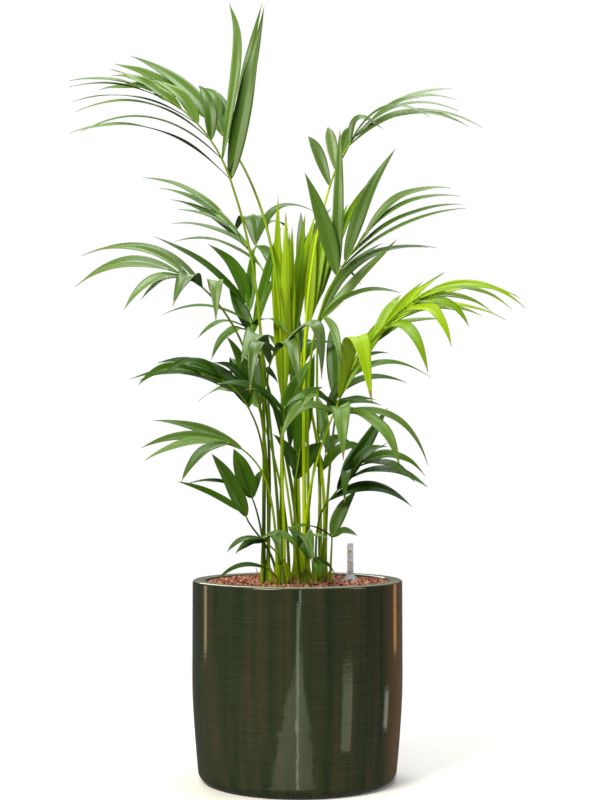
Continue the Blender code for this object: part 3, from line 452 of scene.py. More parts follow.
# %% Fired clay
# Expanded clay: fired in a kiln till it foams, so each ball has a matt, pitted skin, and its
# colour runs from brick to a dusty pink
CLAY_TONES = ("#98604C", "#B67860", "#8A5444", "#CA947C", "#4E281C", "#A46852")
CLAY_PAINTED_SHADE, PAINTED_SHADE_BELOW = "#4E281C", 0.0014
clays = [grained("fired_clay_%d" % (number + 1), (900,) * 3, depth=0.0006, Roughness=0.9,
                 Specular_IOR_Level=0.25, Base_Color=linear(tone))
         for number, tone in enumerate(CLAY_TONES)]
kinds = rng.integers(0, len(clays), len(comb))
# Painted shade: balls that lie low among the others take the darkest tone
kinds = np.where(heights < BED_TOP + PAINTED_SHADE_BELOW, CLAY_TONES.index(CLAY_PAINTED_SHADE), kinds)
kinds = np.repeat(kinds, len(ball_faces))
granules = piece("granules", points, faces, kinds, materials=clays)
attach(granules, "root")

# The bed under the balls: the same clay, coloured dark as painted shade between them, darkest
# at the edges of cells a granule apart
under, tree, shader = start("fired_clay_below", Roughness=0.95, Specular_IOR_Level=0.2)
spot = add(tree, "ShaderNodeTexCoord").outputs["Object"]
cells = add(tree, "ShaderNodeTexVoronoi", {"Scale": 1 / GRANULE_PITCH}, Vector=spot)
shade = add(tree, "ShaderNodeValToRGB", Fac=cells.outputs["Distance"],
            stops=[(0.1, "#6A3C2C"), (0.6, "#2A1710")])
tree.links.new(shade.outputs["Color"], shader.inputs["Base Color"])
bpy.data.objects["granule_bed"].material_slots[0].material = under
print(len(clays) + 1, "kinds of fired clay")

# %% [markdown]
# ## The water gauge
#
# A clear tube with a float stands in the granules and shows how much water is left. Its foot is
# a ribbed cone of grey plastic. All of it is turned round one upright axis, as the planter is,
# and the cone's ribs are a wave in its radius. The tube is a real tube with a wall, because a
# clear solid rod would bend the light behind it far too much.

# %% Gauge
GAUGE = (0.110, 0.038)
CAP_RADIUS, CAP_TOP_RADIUS, CAP_HEIGHT, CAP_RIM = 0.0190, 0.0076, 0.015, 0.002
CAP_WEBS, WEB_DEPTH, SLOT_SHADE_LIMIT, WEB_END = 6, 0.05, 0.35, 0.0005
SLOT_SHADE_TOP, CAP_STEP, CAP_SEAM = 0.0075, 0.0012, 0.0002
TUBE_RADIUS, TUBE_WALL, TUBE_HEIGHT = 0.0065, 0.001, 0.065
FLOAT_RADIUS, FLOAT_HEIGHT = 0.0048, 0.010
GAP = 0.0003
MARK_HEIGHTS, MARK_TALL, MARK_TURN, MARK_SPAN = (0.4356, 0.4589), 0.0028, -97, 36
MARK_SUNK, MARK_STANDOUT = 0.0004, 0.00052
foot = BED_TOP + GAP
shoulder = foot + CAP_HEIGHT
low = shoulder + GAP
print("the gauge stands at", GAUGE, "with its tube from", low)

# %% Ribbed foot of the gauge
# Moulded polypropylene: slightly waxy, with soft blurred highlights
grey = grained("moulded_grey_plastic", (220,) * 3, depth=0.00008, Roughness=0.42,
               tones=[(0.35, "#9FA7B4"), (0.65, "#C4CAD4")])
# Painted shade: the same plastic, darker, in the slots between its webs, where little light comes
slot_painted_shade = grained("grey_plastic_painted_shade", (220,) * 3, Roughness=0.5,
                    tones=[(0.35, "#565864"), (0.65, "#70727E")])
rise = np.linspace(0, 1, 9)
cone = [(POLE / 4, foot), (CAP_RADIUS, foot), (CAP_RADIUS, foot + CAP_RIM),
        *zip(CAP_RADIUS - CAP_STEP + (CAP_TOP_RADIUS - CAP_RADIUS + CAP_STEP) * rise ** 0.8,
             foot + CAP_RIM + CAP_SEAM + (CAP_HEIGHT - CAP_RIM - CAP_SEAM) * rise),
        (POLE / 4, shoulder)]
points, faces = turned(cone, 72, GAUGE)
# Its webs: the radius grows by depth times the cosine of six times the angle
x, y = (points[:, :2] - GAUGE).T
webbed = (points[:, 2] > foot + CAP_RIM) & (points[:, 2] < shoulder - WEB_END)
wave = 1 + WEB_DEPTH * np.cos(CAP_WEBS * np.arctan2(y, x)) * webbed
points[:, :2] = GAUGE + np.stack([x * wave, y * wave], 1)
x, y, z = (points[faces].mean(1) - (*GAUGE, foot)).T
# Painted shade: the faces in the slots between the webs, low on the cone, take the darker plastic
between = (np.cos(CAP_WEBS * np.arctan2(y, x)) < SLOT_SHADE_LIMIT) & (z < SLOT_SHADE_TOP) & (z > CAP_RIM / 2)
cap = piece("gauge_foot", points, faces, between, materials=[grey, slot_painted_shade])

# %% Tube, float and marks
# Clear acrylic, a little milky from handling
acrylic = grained("clear_acrylic", (350,) * 3, 2, depth=0.00004, Roughness=0.22, IOR=1.05,
                  Transmission_Weight=0.62, Base_Color=linear("#E6E6E8"))
inside, high = TUBE_RADIUS - TUBE_WALL, low + TUBE_HEIGHT
shell = [(POLE / 4, high - TUBE_WALL), (inside - 0.001, high - TUBE_WALL),
         (inside, high - 2 * TUBE_WALL), (inside, low),
         (TUBE_RADIUS, low), (TUBE_RADIUS, high - 0.0015),
         (TUBE_RADIUS - 0.0005, high - 0.0004), (TUBE_RADIUS - 0.0015, high), (POLE / 4, high)]
clear_tube = piece("gauge_clear_tube", *turned(shell, 48, GAUGE), materials=[acrylic])

# Dyed plastic, printed marks and the float: small, bright and smooth
float_red = grained("red_float_plastic", (400,) * 3, 2, [(0.3, "#B51A10"), (0.7, "#D32A1C")],
                    Roughness=0.35)
ink = grained("yellow_mark_ink", (600,) * 3, 2, [(0.3, "#D0A818"), (0.7, "#E8C22C")],
              Roughness=0.5)
pin = [(POLE / 8, low), (FLOAT_RADIUS, low), (FLOAT_RADIUS, low + FLOAT_HEIGHT - 0.001),
       (FLOAT_RADIUS - 0.001, low + FLOAT_HEIGHT), (POLE / 8, low + FLOAT_HEIGHT)]
red_float = piece("gauge_red_float", *turned(pin, 32, GAUGE), materials=[float_red])
angle = np.radians(MARK_TURN + np.linspace(-MARK_SPAN, MARK_SPAN, 9))[:, None]
around = np.array([0, 1, 1, 0]) * MARK_STANDOUT + TUBE_RADIUS - MARK_SUNK
marks = []
for mark in MARK_HEIGHTS:
    tall = mark + np.array([0, 0, 1, 1]) * MARK_TALL + 0 * angle
    ring = [GAUGE[0] + around * np.cos(angle), GAUGE[1] + around * np.sin(angle), tall]
    marks.append((np.stack(ring, -1),))
gauge_marks = piece("gauge_marks", *stacked(marks), materials=[ink])
for part, node, slot in ((cap, "gauge_cap", "grey_plastic"),
                         (clear_tube, "gauge_tube", "clear_plastic"),
                         (red_float, "gauge_float", "red_plastic")):
    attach(part, "root")
    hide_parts(node)
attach(gauge_marks, "root")

# %% [markdown]
# ## How the palm grows
#
# A kentia palm is a set of bare stalks, each with one feathered frond. Its shape is worked out
# by a rule, not drawn leaf by leaf: a stalk rises from its cane and bends over into the rib of
# its frond, and rows of leaflets run evenly along the rib, each as an arch from its root to its
# tip. The solids were grown by the same rule, so every fine piece here lies where its solid
# does. These are the rule's sizes, in metres.

# %% Sizes of the palm
CANES = {1: (-0.060, -0.020), 2: (-0.030, -0.060), 3: (0.0, 0.040), 4: (0.015, -0.070),
         5: (0.050, -0.010)}
CANE_HEIGHT, CANE_LEAN, CANE_STEPS = 0.042, 0.05, 1.3
CANE_RADII = (0.0120, 0.0107, 0.0103, 0.0102)

# Stalks and ribs: their radii, the rings of feet round a cane, and how late a stalk bends over
STALK_LEAST_RADIUS, STALK_GROWTH, STALK_TAPER, RIB_TIP_RADIUS = 0.0025, 0.0023, 0.55, 0.0014
STALKS_ON_CANE, CANE_RING, FOOT_RING = 3, 0.0056, 0.0180
STALK_STRAIGHT, STALK_CURL = 0.45, 0.30
BOW_STEP, BOW_TURN, BOWS_A_RING = 0.006, 0.4, 8

# Leaflets: the width along them, how far the turn of the face is lost at the tip, the bend,
# the first root's distance from the crown, and a swing's step
LEAF_ROOT_WIDTH, LEAF_WIDEST, LEAF_SWELL, LEAF_FALL = 0.12, 0.38, 0.7, 2.0
LEAF_RELAX, LEAF_SHARP, LEAF_PEAK = 0.35, 0.667, 0.5
FIRST_LEAF, TIP_STEP = 0.009, 0.014

# How far a leaflet in a row strays from its even place: along itself and in its arch as a
# share, at its tip in metres, and in the turn of its face in degrees
STRAY_LENGTH, STRAY_RISE, STRAY_TURN = 0.03, 0.1, 6
STRAY_TIP = (0.003, 0.007, 0.007)

LEAST = 0.000001
UP, FRONT = np.array([0.0, 0.0, 1.0]), np.array([0.0, -1.0, 0.0])
print(len(CANES), "canes")

# %% [markdown]
# ## The fronds
#
# Each frond is written as its grower would describe it: the cane it stands on, where its crown
# is, how its rib runs from there, and its rows of leaflets. A row says where on the rib it
# starts and ends, and where its first and last tips reach. That is enough to fit the palm in
# the photograph, and short enough to change by hand. Real leaves push each other aside. To do
# the same, a leaflet that would run into a neighbour swings a few steps to the front or back,
# and a stalk that would cross another bows its middle aside. All lengths here are millimetres.

# %% Fronds
def fan(count, along_rib, first, last, rise, width, turn, sharp=LEAF_SHARP, peak=LEAF_PEAK,
        swings=()):
    """A row of leaflets whose roots (a share of the rib), tips (from the crown) and arches (how
    high over the chord) run evenly from the first to the last, with their width, how far they
    turn their faces to the front in degrees, how sharp the bend is, where it comes, and how
    many steps each swings to the front."""
    return dict(count=count, along_rib=along_rib, first=np.array(first) / 1000, sharp=sharp,
                last=np.array(last) / 1000, rise=rise, width=width / 1000, turn=turn, peak=peak,
                swings=swings or (0,) * count)


def leaf(along_rib, reach, rise, width, turn, swing=0, **bend):
    """A row of one."""
    return fan(1, (along_rib, along_rib), reach, reach, (rise, rise), width, turn,
               swings=(swing,), **bend)


def feathered(name, cane, tint, crown, rib, arch, leaves, short=False, bow=(0, 0)):
    """A frond: its cane, its kind of green (deep is painted shade, and lime is partly painted light
    shining through), its crown, the run of its rib from there and how high that arches, and its
    rows. A short one keeps its stalk in one piece with its blade. A bow is a ring of places round
    the stalk's middle and the number of the place."""
    return dict(name=name, cane=cane, tint=tint, crown=np.array(crown) / 1000, leaves=leaves,
                rib=np.array(rib) / 1000, arch=arch / 1000, short=short, bow=bow)


FRONDS = (
    feathered("tall_left", 1, "dark", (-135, -40, 1217), (-135, -80, 160), 25, [
        leaf(0.02, (58, 0, 326), 2, 37, 90), leaf(0.1, (65, 20, 385), -4, 22, 90, swing=-2),
        leaf(0.22, (-6, -10, 373), -21, 21, 90, sharp=1.0, peak=0.78),
        fan(3, (0.42, 0.8), (-75, 40, 205), (-240, -120, 210), (25, 12), 28, 60),
        fan(6, (0.03, 1), (-295, -200, 45), (-305, -160, 180), (64, 19), 17, 45,
            swings=(0, 0, 0, 0, -1, 0))]),
    feathered("tall_left_back", 2, "dark", (-120, 60, 1282), (-130, 100, 170), 12, [
        leaf(0.02, (45, 0, 345), 12, 26, 90),
        fan(3, (0.15, 0.45), (-55, 140, 195), (-100, 120, 185), (21, 29), 26, 60, sharp=0.85,
            swings=(0, 0, 2)),
        fan(4, (0.3, 1), (-245, 140, 275), (-335, 200, 220), (25, 17), 34, 60)]),
    feathered("tall_right", 4, "sage", (65, 0, 1212), (115, 80, 185), 19, [
        leaf(0.02, (-43, 20, 117), 6, 24, 90, sharp=0.9, peak=0.8),
        leaf(0.2, (-1, 42, 142), 3, 24, 90, sharp=0.9, peak=0.8),
        leaf(0.3, (55, 55, 148), 8, 24, 90, sharp=0.9, peak=0.75),
        leaf(0.5, (113, 20, 133), 45, 20, 65, sharp=0.8),
        fan(5, (0.45, 1), (290, -80, 105), (270, 100, 235), (64, 14), 15, 60,
            swings=(0, -1, 0, 0, 0)),
        leaf(0.5, (205, -40, 140), 52, 15, 60, swing=1)]),
    feathered("upper_right", 4, "dark", (75, -100, 1012), (65, -60, 85), 4, [
        leaf(0, (-60, 0, 215), 6, 32, 90), leaf(0.02, (12, 40, 314), 2, 23, 90),
        leaf(0.35, (120, -40, 255), 14, 29, 85),
        fan(4, (0.2, 0.9), (245, -160, 100), (230, -80, 170), (29, 33), 18, 60),
        leaf(0.1, (200, -50, 55), 25, 15, 55)], bow=(1, 0)),
    feathered("mid_right", 5, "dark", (45, -20, 927), (5, -60, 10), 6, [
        leaf(0, (135, 60, 180), 25, 21, 60), leaf(0.2, (230, 60, 170), 58, 20, 60),
        leaf(0.3, (160, -20, 175), 4, 24, 70), leaf(0.5, (160, -100, 55), 29, 24, 55),
        leaf(0.8, (40, -220, -110), 33, 20, 0)]),
    feathered("lime_right", 4, "lime", (80, -140, 762), (170, -140, 205), 29, [
        leaf(0.02, (60, -200, -10), 128, 44, 30, sharp=0.85, peak=0.4, swing=-4),
        leaf(0.4, (160, -200, 45), 70, 30, 55), leaf(0.65, (205, -180, 95), 54, 26, 55),
        leaf(0.85, (240, -160, 135), 27, 22, 55),
        fan(7, (0.35, 1), (220, 0, 180), (345, -140, 165), (29, 29), 18, 55),
        leaf(0.6, (165, -40, 235), 4, 14, 70),
        fan(2, (0.2, 0.5), (215, 40, 255), (130, 60, 210), (19, 10), 20, 50),
        leaf(0.05, (220, 80, 270), 25, 24, 60), leaf(0.75, (350, -20, 210), 33, 20, 55),
        leaf(0.85, (345, -100, 195), 31, 18, 55), leaf(0.6, (335, 20, 165), 39, 16, 55),
        leaf(0.45, (230, 60, 195), 27, 12, 35), leaf(0.3, (130, 20, 185), 19, 14, 40)]),
    feathered("lime_centre", 3, "lime", (-30, 0, 757), (20, 20, 145), 0, [
        fan(5, (0, 0.9), (-12, 0, 420), (65, 20, 415), (-6, 6), 24, 90, swings=(-1, 1, 0, -3, -5)),
        fan(4, (0.05, 0.9), (-30, 100, 370), (35, 120, 390), (10, -6), 20, 80,
            swings=(0, -5, 4, 0))], short=True),
    feathered("lime_centre_right", 3, "lime", (20, 30, 917), (35, 30, 90), 4, [
        fan(4, (0, 0.9), (15, 30, 215), (130, 70, 320), (4, 17), 22, 80,
            swings=(0, 0, 0, -1))], short=True),
    feathered("weeping_left", 1, "sage", (-160, -120, 962), (-90, -120, 50), 12, [
        leaf(0.02, (5, -120, -50), 62, 32, 55, sharp=0.85, peak=0.45),
        leaf(0.35, (-70, -200, -30), 41, 34, 50, sharp=0.8, peak=0.4),
        leaf(0.6, (-155, -240, -40), 29, 26, 40),
        leaf(0.45, (-130, -240, -15), 25, 20, 40, swing=-4),
        fan(4, (0.3, 1), (-240, -60, 105), (-255, -180, 0), (45, 27), 18, 55)], bow=(1, 0)),
    feathered("mid_left", 1, "deep", (-90, 20, 907), (-20, 40, 90), 0, [
        leaf(0.8, (-100, 40, 200), 21, 34, 70), leaf(0.8, (-210, 0, 210), 17, 24, 55),
        leaf(0.1, (-110, -120, -15), 31, 20, 40), leaf(0.3, (-185, -60, 40), 29, 16, 35),
        leaf(0.05, (-80, -200, -60), 33, 24, 35, swing=-3), leaf(0.1, (-55, 40, 125), -4, 28, 80),
        leaf(0.3, (70, -120, 0), 21, 18, 20, swing=-2), leaf(0.6, (-5, 80, 200), 4, 22, 85),
        leaf(0.05, (55, 60, 240), 6, 20, 85), leaf(0.02, (60, 0, 150), 8, 18, 80)], bow=(2, 0)),
    feathered("front_centre", 2, "sage", (-55, -160, 832), (15, -100, 20), 4, [
        leaf(0.1, (-50, -140, -5), 62, 42, 65, sharp=0.9, peak=0.4),
        leaf(0.5, (60, -180, -55), 62, 30, 60, sharp=0.85, peak=0.4),
        leaf(0.9, (100, -160, -35), 87, 32, 60, sharp=0.85),
        leaf(0.9, (-30, -220, -65), 62, 28, 50, sharp=0.85)]),
    feathered("arched_left", 1, "deep", (-95, -60, 747), (-95, -80, 70), 19, [
        fan(3, (0.3, 1), (-235, -20, 70), (-210, -140, 40), (31, 21), 24, 55),
        fan(2, (0.1, 0.6), (-195, 60, 110), (-155, -140, 70), (45, 33), 30, 60),
        leaf(0, (-50, 20, 155), 17, 26, 85), leaf(0.15, (-75, -40, 100), 29, 26, 65, swing=-3)]),
    feathered("inner_centre", 4, "deep", (-5, -30, 602), (10, 0, 70), 0, [
        leaf(0.95, (40, 0, 265), 4, 37, 90), leaf(0.75, (-10, 30, 240), 6, 22, 86, swing=-1),
        leaf(0.1, (60, 30, 85), 10, 38, 85), leaf(0.3, (-45, -10, 100), 10, 26, 82)], short=True),
    feathered("inner_front", 2, "deep", (-30, -120, 702), (5, -60, 50), 0, [
        fan(2, (0.2, 0.8), (-70, -160, 75), (-110, -120, 85), (25, 29), 34, 55),
        fan(2, (0.2, 0.8), (60, -30, 150), (55, -100, 60), (8, 14), 32, 80),
        leaf(0.5, (80, -20, 90), 14, 28, 75)], short=True),
    feathered("low_left", 2, "dark", (-85, -100, 647), (-50, -80, 35), 6, [
        leaf(0.5, (-200, -40, 80), 14, 24, 50), leaf(0.7, (-215, -100, 25), 23, 24, 50),
        leaf(0.8, (-200, -180, 0), 21, 22, 45),
        leaf(0.9, (-130, -200, -40), 25, 24, 55)], short=True),
    feathered("oval_left", 1, "deep", (-90, -40, 567), (-5, -20, 15), 0, [
        leaf(0.3, (-40, 0, 105), 2, 41, 90), leaf(0.3, (20, 10, 65), 8, 16, 80, swing=-2),
        leaf(0.5, (-110, -80, 40), 14, 18, 45),
        leaf(0.9, (-125, -140, 35), 17, 16, 45)], short=True),
    feathered("spear_left", 1, "deep", (-100, -100, 532), (-5, -20, 15), 0, [
        leaf(0.3, (-70, -20, 130), 6, 34, 88),
        leaf(0.8, (-130, -100, 75), 8, 24, 65)], short=True),
    feathered("skirt_left", 2, "dark", (-60, -120, 487), (-5, -20, 10), 0, [
        leaf(0.3, (-75, -80, -15), 17, 18, 40), leaf(0.3, (-60, -50, -20), 10, 20, 40),
        leaf(0.3, (30, -80, -35), 33, 24, 65, sharp=0.85, peak=0.35)], short=True, bow=(2, 5)),
    feathered("ground_left", 2, "deep", (-55, -100, 430), (-5, -15, 6), 0, [
        leaf(0.3, (-105, -50, -20), 21, 14, 40)], short=True),
    feathered("ground_right", 4, "deep", (30, -100, 447), (0, -15, 10), 0, [
        leaf(0.3, (15, -40, -30), 10, 18, 60), leaf(0.8, (45, 0, -25), 8, 14, 50),
        leaf(0.5, (-50, 30, 70), 6, 24, 80)], short=True),
    feathered("skirt_front", 4, "dark", (0, -130, 472), (0, -20, 10), 0, [
        leaf(0.3, (-80, -70, 15), 25, 18, 40, swing=-6),
        leaf(0.3, (30, -80, -20), 41, 29, 70, sharp=0.85, peak=0.35),
        leaf(0.3, (60, -70, 25), 17, 16, 40)], short=True),
    feathered("skirt_right", 5, "dark", (70, -40, 487), (0, -10, 10), 0, [
        leaf(0.3, (50, -30, 10), 12, 20, 65), leaf(0.3, (-90, -120, 25), 17, 18, 40),
        leaf(0.8, (50, 10, 100), 8, 27, 85)], short=True),
    feathered("low_right", 5, "deep", (60, -40, 562), (70, -80, 90), 0, [
        leaf(0.05, (165, -100, -5), 35, 28, 50), leaf(0.5, (185, -220, 35), 31, 28, 50),
        leaf(0.8, (160, -240, 45), 25, 26, 45), leaf(0.3, (125, 20, 195), 0, 30, 85),
        leaf(0.4, (85, 60, 130), 17, 20, 60, swing=-4),
        leaf(0.7, (125, 100, 115), 19, 22, 50, swing=6), leaf(0.9, (195, -60, 55), 31, 24, 50),
        leaf(0.6, (30, -180, 5), 37, 22, 40), leaf(0.2, (115, -80, 120), 12, 26, 60, swing=3),
        leaf(0.3, (80, -100, 130), 12, 22, 60)]),
    feathered("front_right", 5, "dark", (75, -160, 737), (0, -60, 5), 0, [
        leaf(0.5, (10, -160, -90), 54, 38, 65, sharp=0.85, peak=0.35),
        leaf(0.5, (115, -140, -100), 41, 30, 50), leaf(0.4, (175, -60, -100), 50, 20, 40),
        leaf(0.2, (95, 100, -5), 17, 18, 40), leaf(0.5, (-105, -100, -50), 41, 28, 50),
        leaf(0.7, (-70, -200, 0), 33, 18, 30)]),
    feathered("low_right_back", 3, "deep", (60, 90, 737), (40, 70, 100), 4, [
        fan(3, (0.2, 0.7), (115, 50, 45), (240, 130, 100), (12, 50), 20, 45),
        leaf(0.9, (145, 170, 155), 21, 20, 50), leaf(0.5, (15, 210, 215), 17, 28, 60),
        leaf(0.1, (125, 30, 130), 27, 26, 60), leaf(0.05, (120, 20, 30), 21, 20, 45)]),
    feathered("upper_left_back", 3, "dark", (-75, 80, 1057), (-80, 100, 120), 4, [
        fan(3, (0.3, 1), (-215, 220, 190), (-265, 160, 230), (25, 25), 20, 45, swings=(0, 0, 3)),
        fan(3, (0, 0.8), (-190, -20, 60), (-185, 40, 140), (27, 12), 18, 40, swings=(3, 0, 0))]),
    feathered("back_centre", 3, "dark", (-105, 140, 1072), (25, 100, 105), 0, [
        leaf(0.5, (-50, 260, 105), 62, 32, 50, sharp=0.85, peak=0.4),
        leaf(0.6, (35, 280, 130), 50, 28, 50, sharp=0.85, peak=0.4),
        fan(2, (0.6, 0.9), (145, 140, 135), (85, 240, 125), (41, 25), 22, 50),
        leaf(0.5, (70, -120, -75), 29, 26, 50, swing=-3)]),
    feathered("back_right", 5, "dark", (5, 120, 997), (40, 100, 95), 0, [
        fan(3, (0.1, 0.9), (75, 80, 215), (115, 200, 205), (29, 17), 26, 60),
        fan(2, (0.1, 0.5), (0, 140, 210), (50, 280, 210), (12, 29), 24, 60, swings=(0, -1)),
        leaf(0.5, (140, 180, 55), 41, 22, 30),
        leaf(0.02, (45, -40, 155), 17, 26, 70, swing=-3)], bow=(4, 6)),
    feathered("back_low_left", 3, "deep", (-75, 120, 737), (-55, 140, 115), 8, [
        fan(3, (0.2, 1), (-150, 120, 60), (-80, 320, 125), (41, 37), 26, 40),
        fan(2, (0.2, 0.7), (-5, 180, 175), (25, 300, 95), (12, 37), 28, 50)]),
    feathered("back_low_right", 5, "deep", (50, 100, 607), (20, 140, 90), 6, [
        fan(3, (0.2, 1), (130, 120, 55), (35, 320, 40), (41, 41), 26, 40),
        fan(2, (0.2, 0.7), (-55, 160, 65), (-5, 260, 185), (21, 21), 26, 50)]),
    feathered("back_middle", 3, "deep", (-5, 130, 792), (10, 150, 120), 6, [
        fan(3, (0.2, 1), (110, 130, 110), (20, 310, 120), (41, 50), 26, 40, swings=(1, 0, 0)),
        fan(2, (0.2, 0.7), (-65, 130, 150), (-15, 170, 250), (17, 8), 26, 60),
        leaf(0.05, (-12, 50, -120), 8, 28, 90), leaf(0.05, (85, 40, -45), 25, 30, 60)]),
)
palm = {frond["name"]: frond for frond in FRONDS}
print(len(FRONDS), "fronds,", sum(row["count"] for f in FRONDS for row in f["leaves"]), "leaflets")

# %% [markdown]
# ## Curves
#
# A leaflet hangs in an upright plane, springs up from its root and bends over to its tip. A
# cubic curve with its two handles aimed at one peak does that, and one number says how sharp
# the bend is. Everything runs on arrays of points, so a whole curve is one expression.

# %% Curves
def unit(v):
    return v / np.maximum(np.linalg.norm(v, axis=-1, keepdims=True), LEAST)


def heading(chord):
    """The level direction that a chord runs in."""
    flat = np.array([chord[0], chord[1], 0.0])
    length = np.linalg.norm(flat)
    return flat / length if length > GAP else np.array([1.0, 0.0, 0.0])


def cubic(a, b, c, d, t):
    """Points of a cubic Bezier curve at the shares t."""
    t = t[:, None]
    return (1 - t) ** 3 * a + 3 * t * (1 - t) ** 2 * b + 3 * t * t * (1 - t) * c + t ** 3 * d


def arch(a, b, rise, sharp, peak, t):
    """A curve from a to b that arches over its chord, in the chord's own upright plane."""
    chord = b - a
    level, along = heading(chord), unit(chord)
    over = unit(UP * (along @ level) - level * along[2])
    top = a + chord * peak + over * rise / (0.75 * sharp)
    return cubic(a, a + (top - a) * sharp, b + (top - b) * sharp, b, t)


def seeded(name, more=0):
    """A frond's own random numbers, which its name starts."""
    return np.random.default_rng(sum(map(ord, name)) + more)


def directions(points):
    return unit(np.gradient(points, axis=0))


def walked(points):
    """How far along the line each point is."""
    return np.append(0, np.cumsum(np.linalg.norm(np.diff(points, axis=0), axis=1)))


def round_rings(points, along, radii, sides):
    """Rings about an axis: point + radius (cos a first + sin a second), where first is level
    and second is square to it and to the axis."""
    across = np.cross(UP, heading(points[-1] - points[0]))
    first = unit(across - along * (along @ across)[:, None])
    second = np.cross(along, first)
    angles = np.arange(sides) * 2 * np.pi / sides
    ring = np.cos(angles)[:, None] * first[:, None] + np.sin(angles)[:, None] * second[:, None]
    return points[:, None] + ring * np.asarray(radii).reshape(len(points), -1, 1)


test = arch(0 * UP, FRONT, 0.1, LEAF_SHARP, LEAF_PEAK, np.linspace(0, 1, 3))
print("a test arch rises", round(test[1, 2], 3))

# %% [markdown]
# ## Canes, stalks and ribs in their places
#
# The tallest stalks of a plant come out of its cane's top, and the younger ones from round its
# foot. Each goes up first and bends over late. The feet could be written down one by one, but
# evenly spaced round the cane, in the order of the directions they leave in, no two cross.

# %% Axes of the stalks
def cane_line(cane):
    """The axis of a cane: it leans out from the middle of the clump."""
    foot = np.array([*CANES[cane], BED_TOP + GAP])
    lean = np.array([foot[0], foot[1], 0.0]) * CANE_LEAN
    heights = np.linspace(0, 1, len(CANE_RADII))[:, None] ** CANE_STEPS
    return foot + heights * (UP * CANE_HEIGHT + lean)


def ring_of_feet(group, centre, radius):
    """Feet evenly round a centre, turned so that each is as near as can be to its own
    frond's side."""
    aim = [np.arctan2(f["crown"][1] - centre[1], f["crown"][0] - centre[0]) for f in group]
    order = np.argsort(aim)
    step = 2 * np.pi / len(group)
    offsets = [aim[k] - step * i for i, k in enumerate(order)]
    turns = np.angle(np.mean(np.exp(1j * np.array(offsets)))) + step * np.arange(len(group))
    return {group[k]["name"]: centre + radius * np.array([np.cos(turn), np.sin(turn), 0.0])
            for k, turn in zip(order, turns)}


def rib_line(frond, steps=16):
    shape = frond["crown"], frond["crown"] + frond["rib"], frond["arch"], LEAF_SHARP, LEAF_PEAK
    return arch(*shape, np.linspace(0, 1, steps + 1))


def stalk_line(frond, foot, stations):
    """From the cane straight up, then over into the rib. The bow moves its middle aside."""
    ring, place = frond["bow"]
    angle = place * 2 * np.pi / BOWS_A_RING + ring * BOW_TURN
    bow = ring * BOW_STEP * np.array([np.cos(angle), np.sin(angle), 0.0])
    rib = rib_line(frond)
    rise = np.linalg.norm(rib[0] - foot)
    low = foot + UP * rise * STALK_STRAIGHT + bow
    high = rib[0] - unit(rib[1] - rib[0]) * rise * STALK_CURL + bow / 2
    return cubic(foot, low, high, rib[0], np.linspace(0, 1, stations))


feet = {}
for cane in CANES:
    line = cane_line(cane)
    group = sorted((f for f in FRONDS if f["cane"] == cane), key=lambda f: -f["crown"][2])
    feet.update(ring_of_feet(group[:STALKS_ON_CANE], line[-1] + UP * GAP, CANE_RING))
    feet.update(ring_of_feet(group[STALKS_ON_CANE:], line[0], FOOT_RING))
print(len(feet), "stalks,", sum(any(f["bow"]) for f in FRONDS), "of them bowed aside")

# %% [markdown]
# ## Leaflets in their places
#
# A row gives each leaflet an even place, and a seeded draw moves it a little from there, since
# no living row is even. The seed comes from the frond's name, so a frond keeps its own
# unevenness whatever is changed in the others.

# %% Leaflets
def leaf_curves(frond):
    """Each leaflet of a frond: its curve (root, tip, rise, sharp, peak), width and turn."""
    rng, rib = seeded(frond["name"]), rib_line(frond)
    for row in frond["leaves"]:
        start, end = row["along_rib"]
        for share, swing in zip(np.linspace(0, 1, row["count"]), row["swings"]):
            uneven = rng.normal(0, 1, 6) * (row["count"] > 1)
            place = min(max(start + (end - start) * share, FIRST_LEAF / walked(rib)[-1]), 1)
            root = np.array([np.interp(place, np.linspace(0, 1, len(rib)), axis) for axis in rib.T])
            tip = frond["crown"] + row["first"] + (row["last"] - row["first"]) * share
            tip = tip + (tip - root) * STRAY_LENGTH * uneven[0] + STRAY_TIP * uneven[1:4]
            rise = row["rise"][0] + (row["rise"][1] - row["rise"][0]) * share
            rise = rise / 1000 * (1 + STRAY_RISE * uneven[4])
            curve = root, tip + FRONT * swing * TIP_STEP, rise, row["sharp"], row["peak"]
            yield curve, row["width"], row["turn"] + STRAY_TURN * uneven[5]


def leaf_frame(line, turn):
    """A leaflet's own directions at each point: along it, out of its face, and across it. One
    that runs across the front turns its face to it; one that runs to the front keeps it up."""
    along, level = directions(line), heading(line[-1] - line[0])
    face = unit(UP * (along @ level)[:, None] - level * (along @ UP)[:, None])
    aside = np.cross(UP, level)
    relaxed = (1 - LEAF_RELAX * np.linspace(0, 1, len(line)))[:, None]
    angle = np.radians(turn) * (aside @ FRONT) * relaxed
    normal = np.cos(angle) * face + np.sin(angle) * aside
    return along, normal, unit(np.cross(along, normal))


def leaf_width(share):
    """A leaflet's width as a share of its widest: it swells from a narrow root by a power of
    (1 - (1 - s / widest) squared) and tapers to nothing by 1 - s ** fall."""
    swell = LEAF_ROOT_WIDTH + (1 - LEAF_ROOT_WIDTH) * (
        1 - np.clip(1 - share / LEAF_WIDEST, 0, 1) ** 2) ** LEAF_SWELL
    past = np.clip((share - LEAF_WIDEST) / (1 - LEAF_WIDEST), 0, 1)
    return np.where(share < LEAF_WIDEST, swell, 1 - past ** LEAF_FALL)


print("widest at", LEAF_WIDEST, "of a leaflet's length")

# %% [markdown]
# ## Stalks and ribs
#
# A kentia's stalk is smooth and waxy, round behind and channelled on its inner side, and it
# runs on through its frond as the rib. At its foot it widens into a sheath that wraps the cane
# down to the granules. A curve with a bevel could give a round rod, but neither the channel nor
# the sheath, so each stalk is a stack of rings: the radius falls in a straight line to the
# crown and again to the rib's tip, swells near the ground, and dips where the channel is.

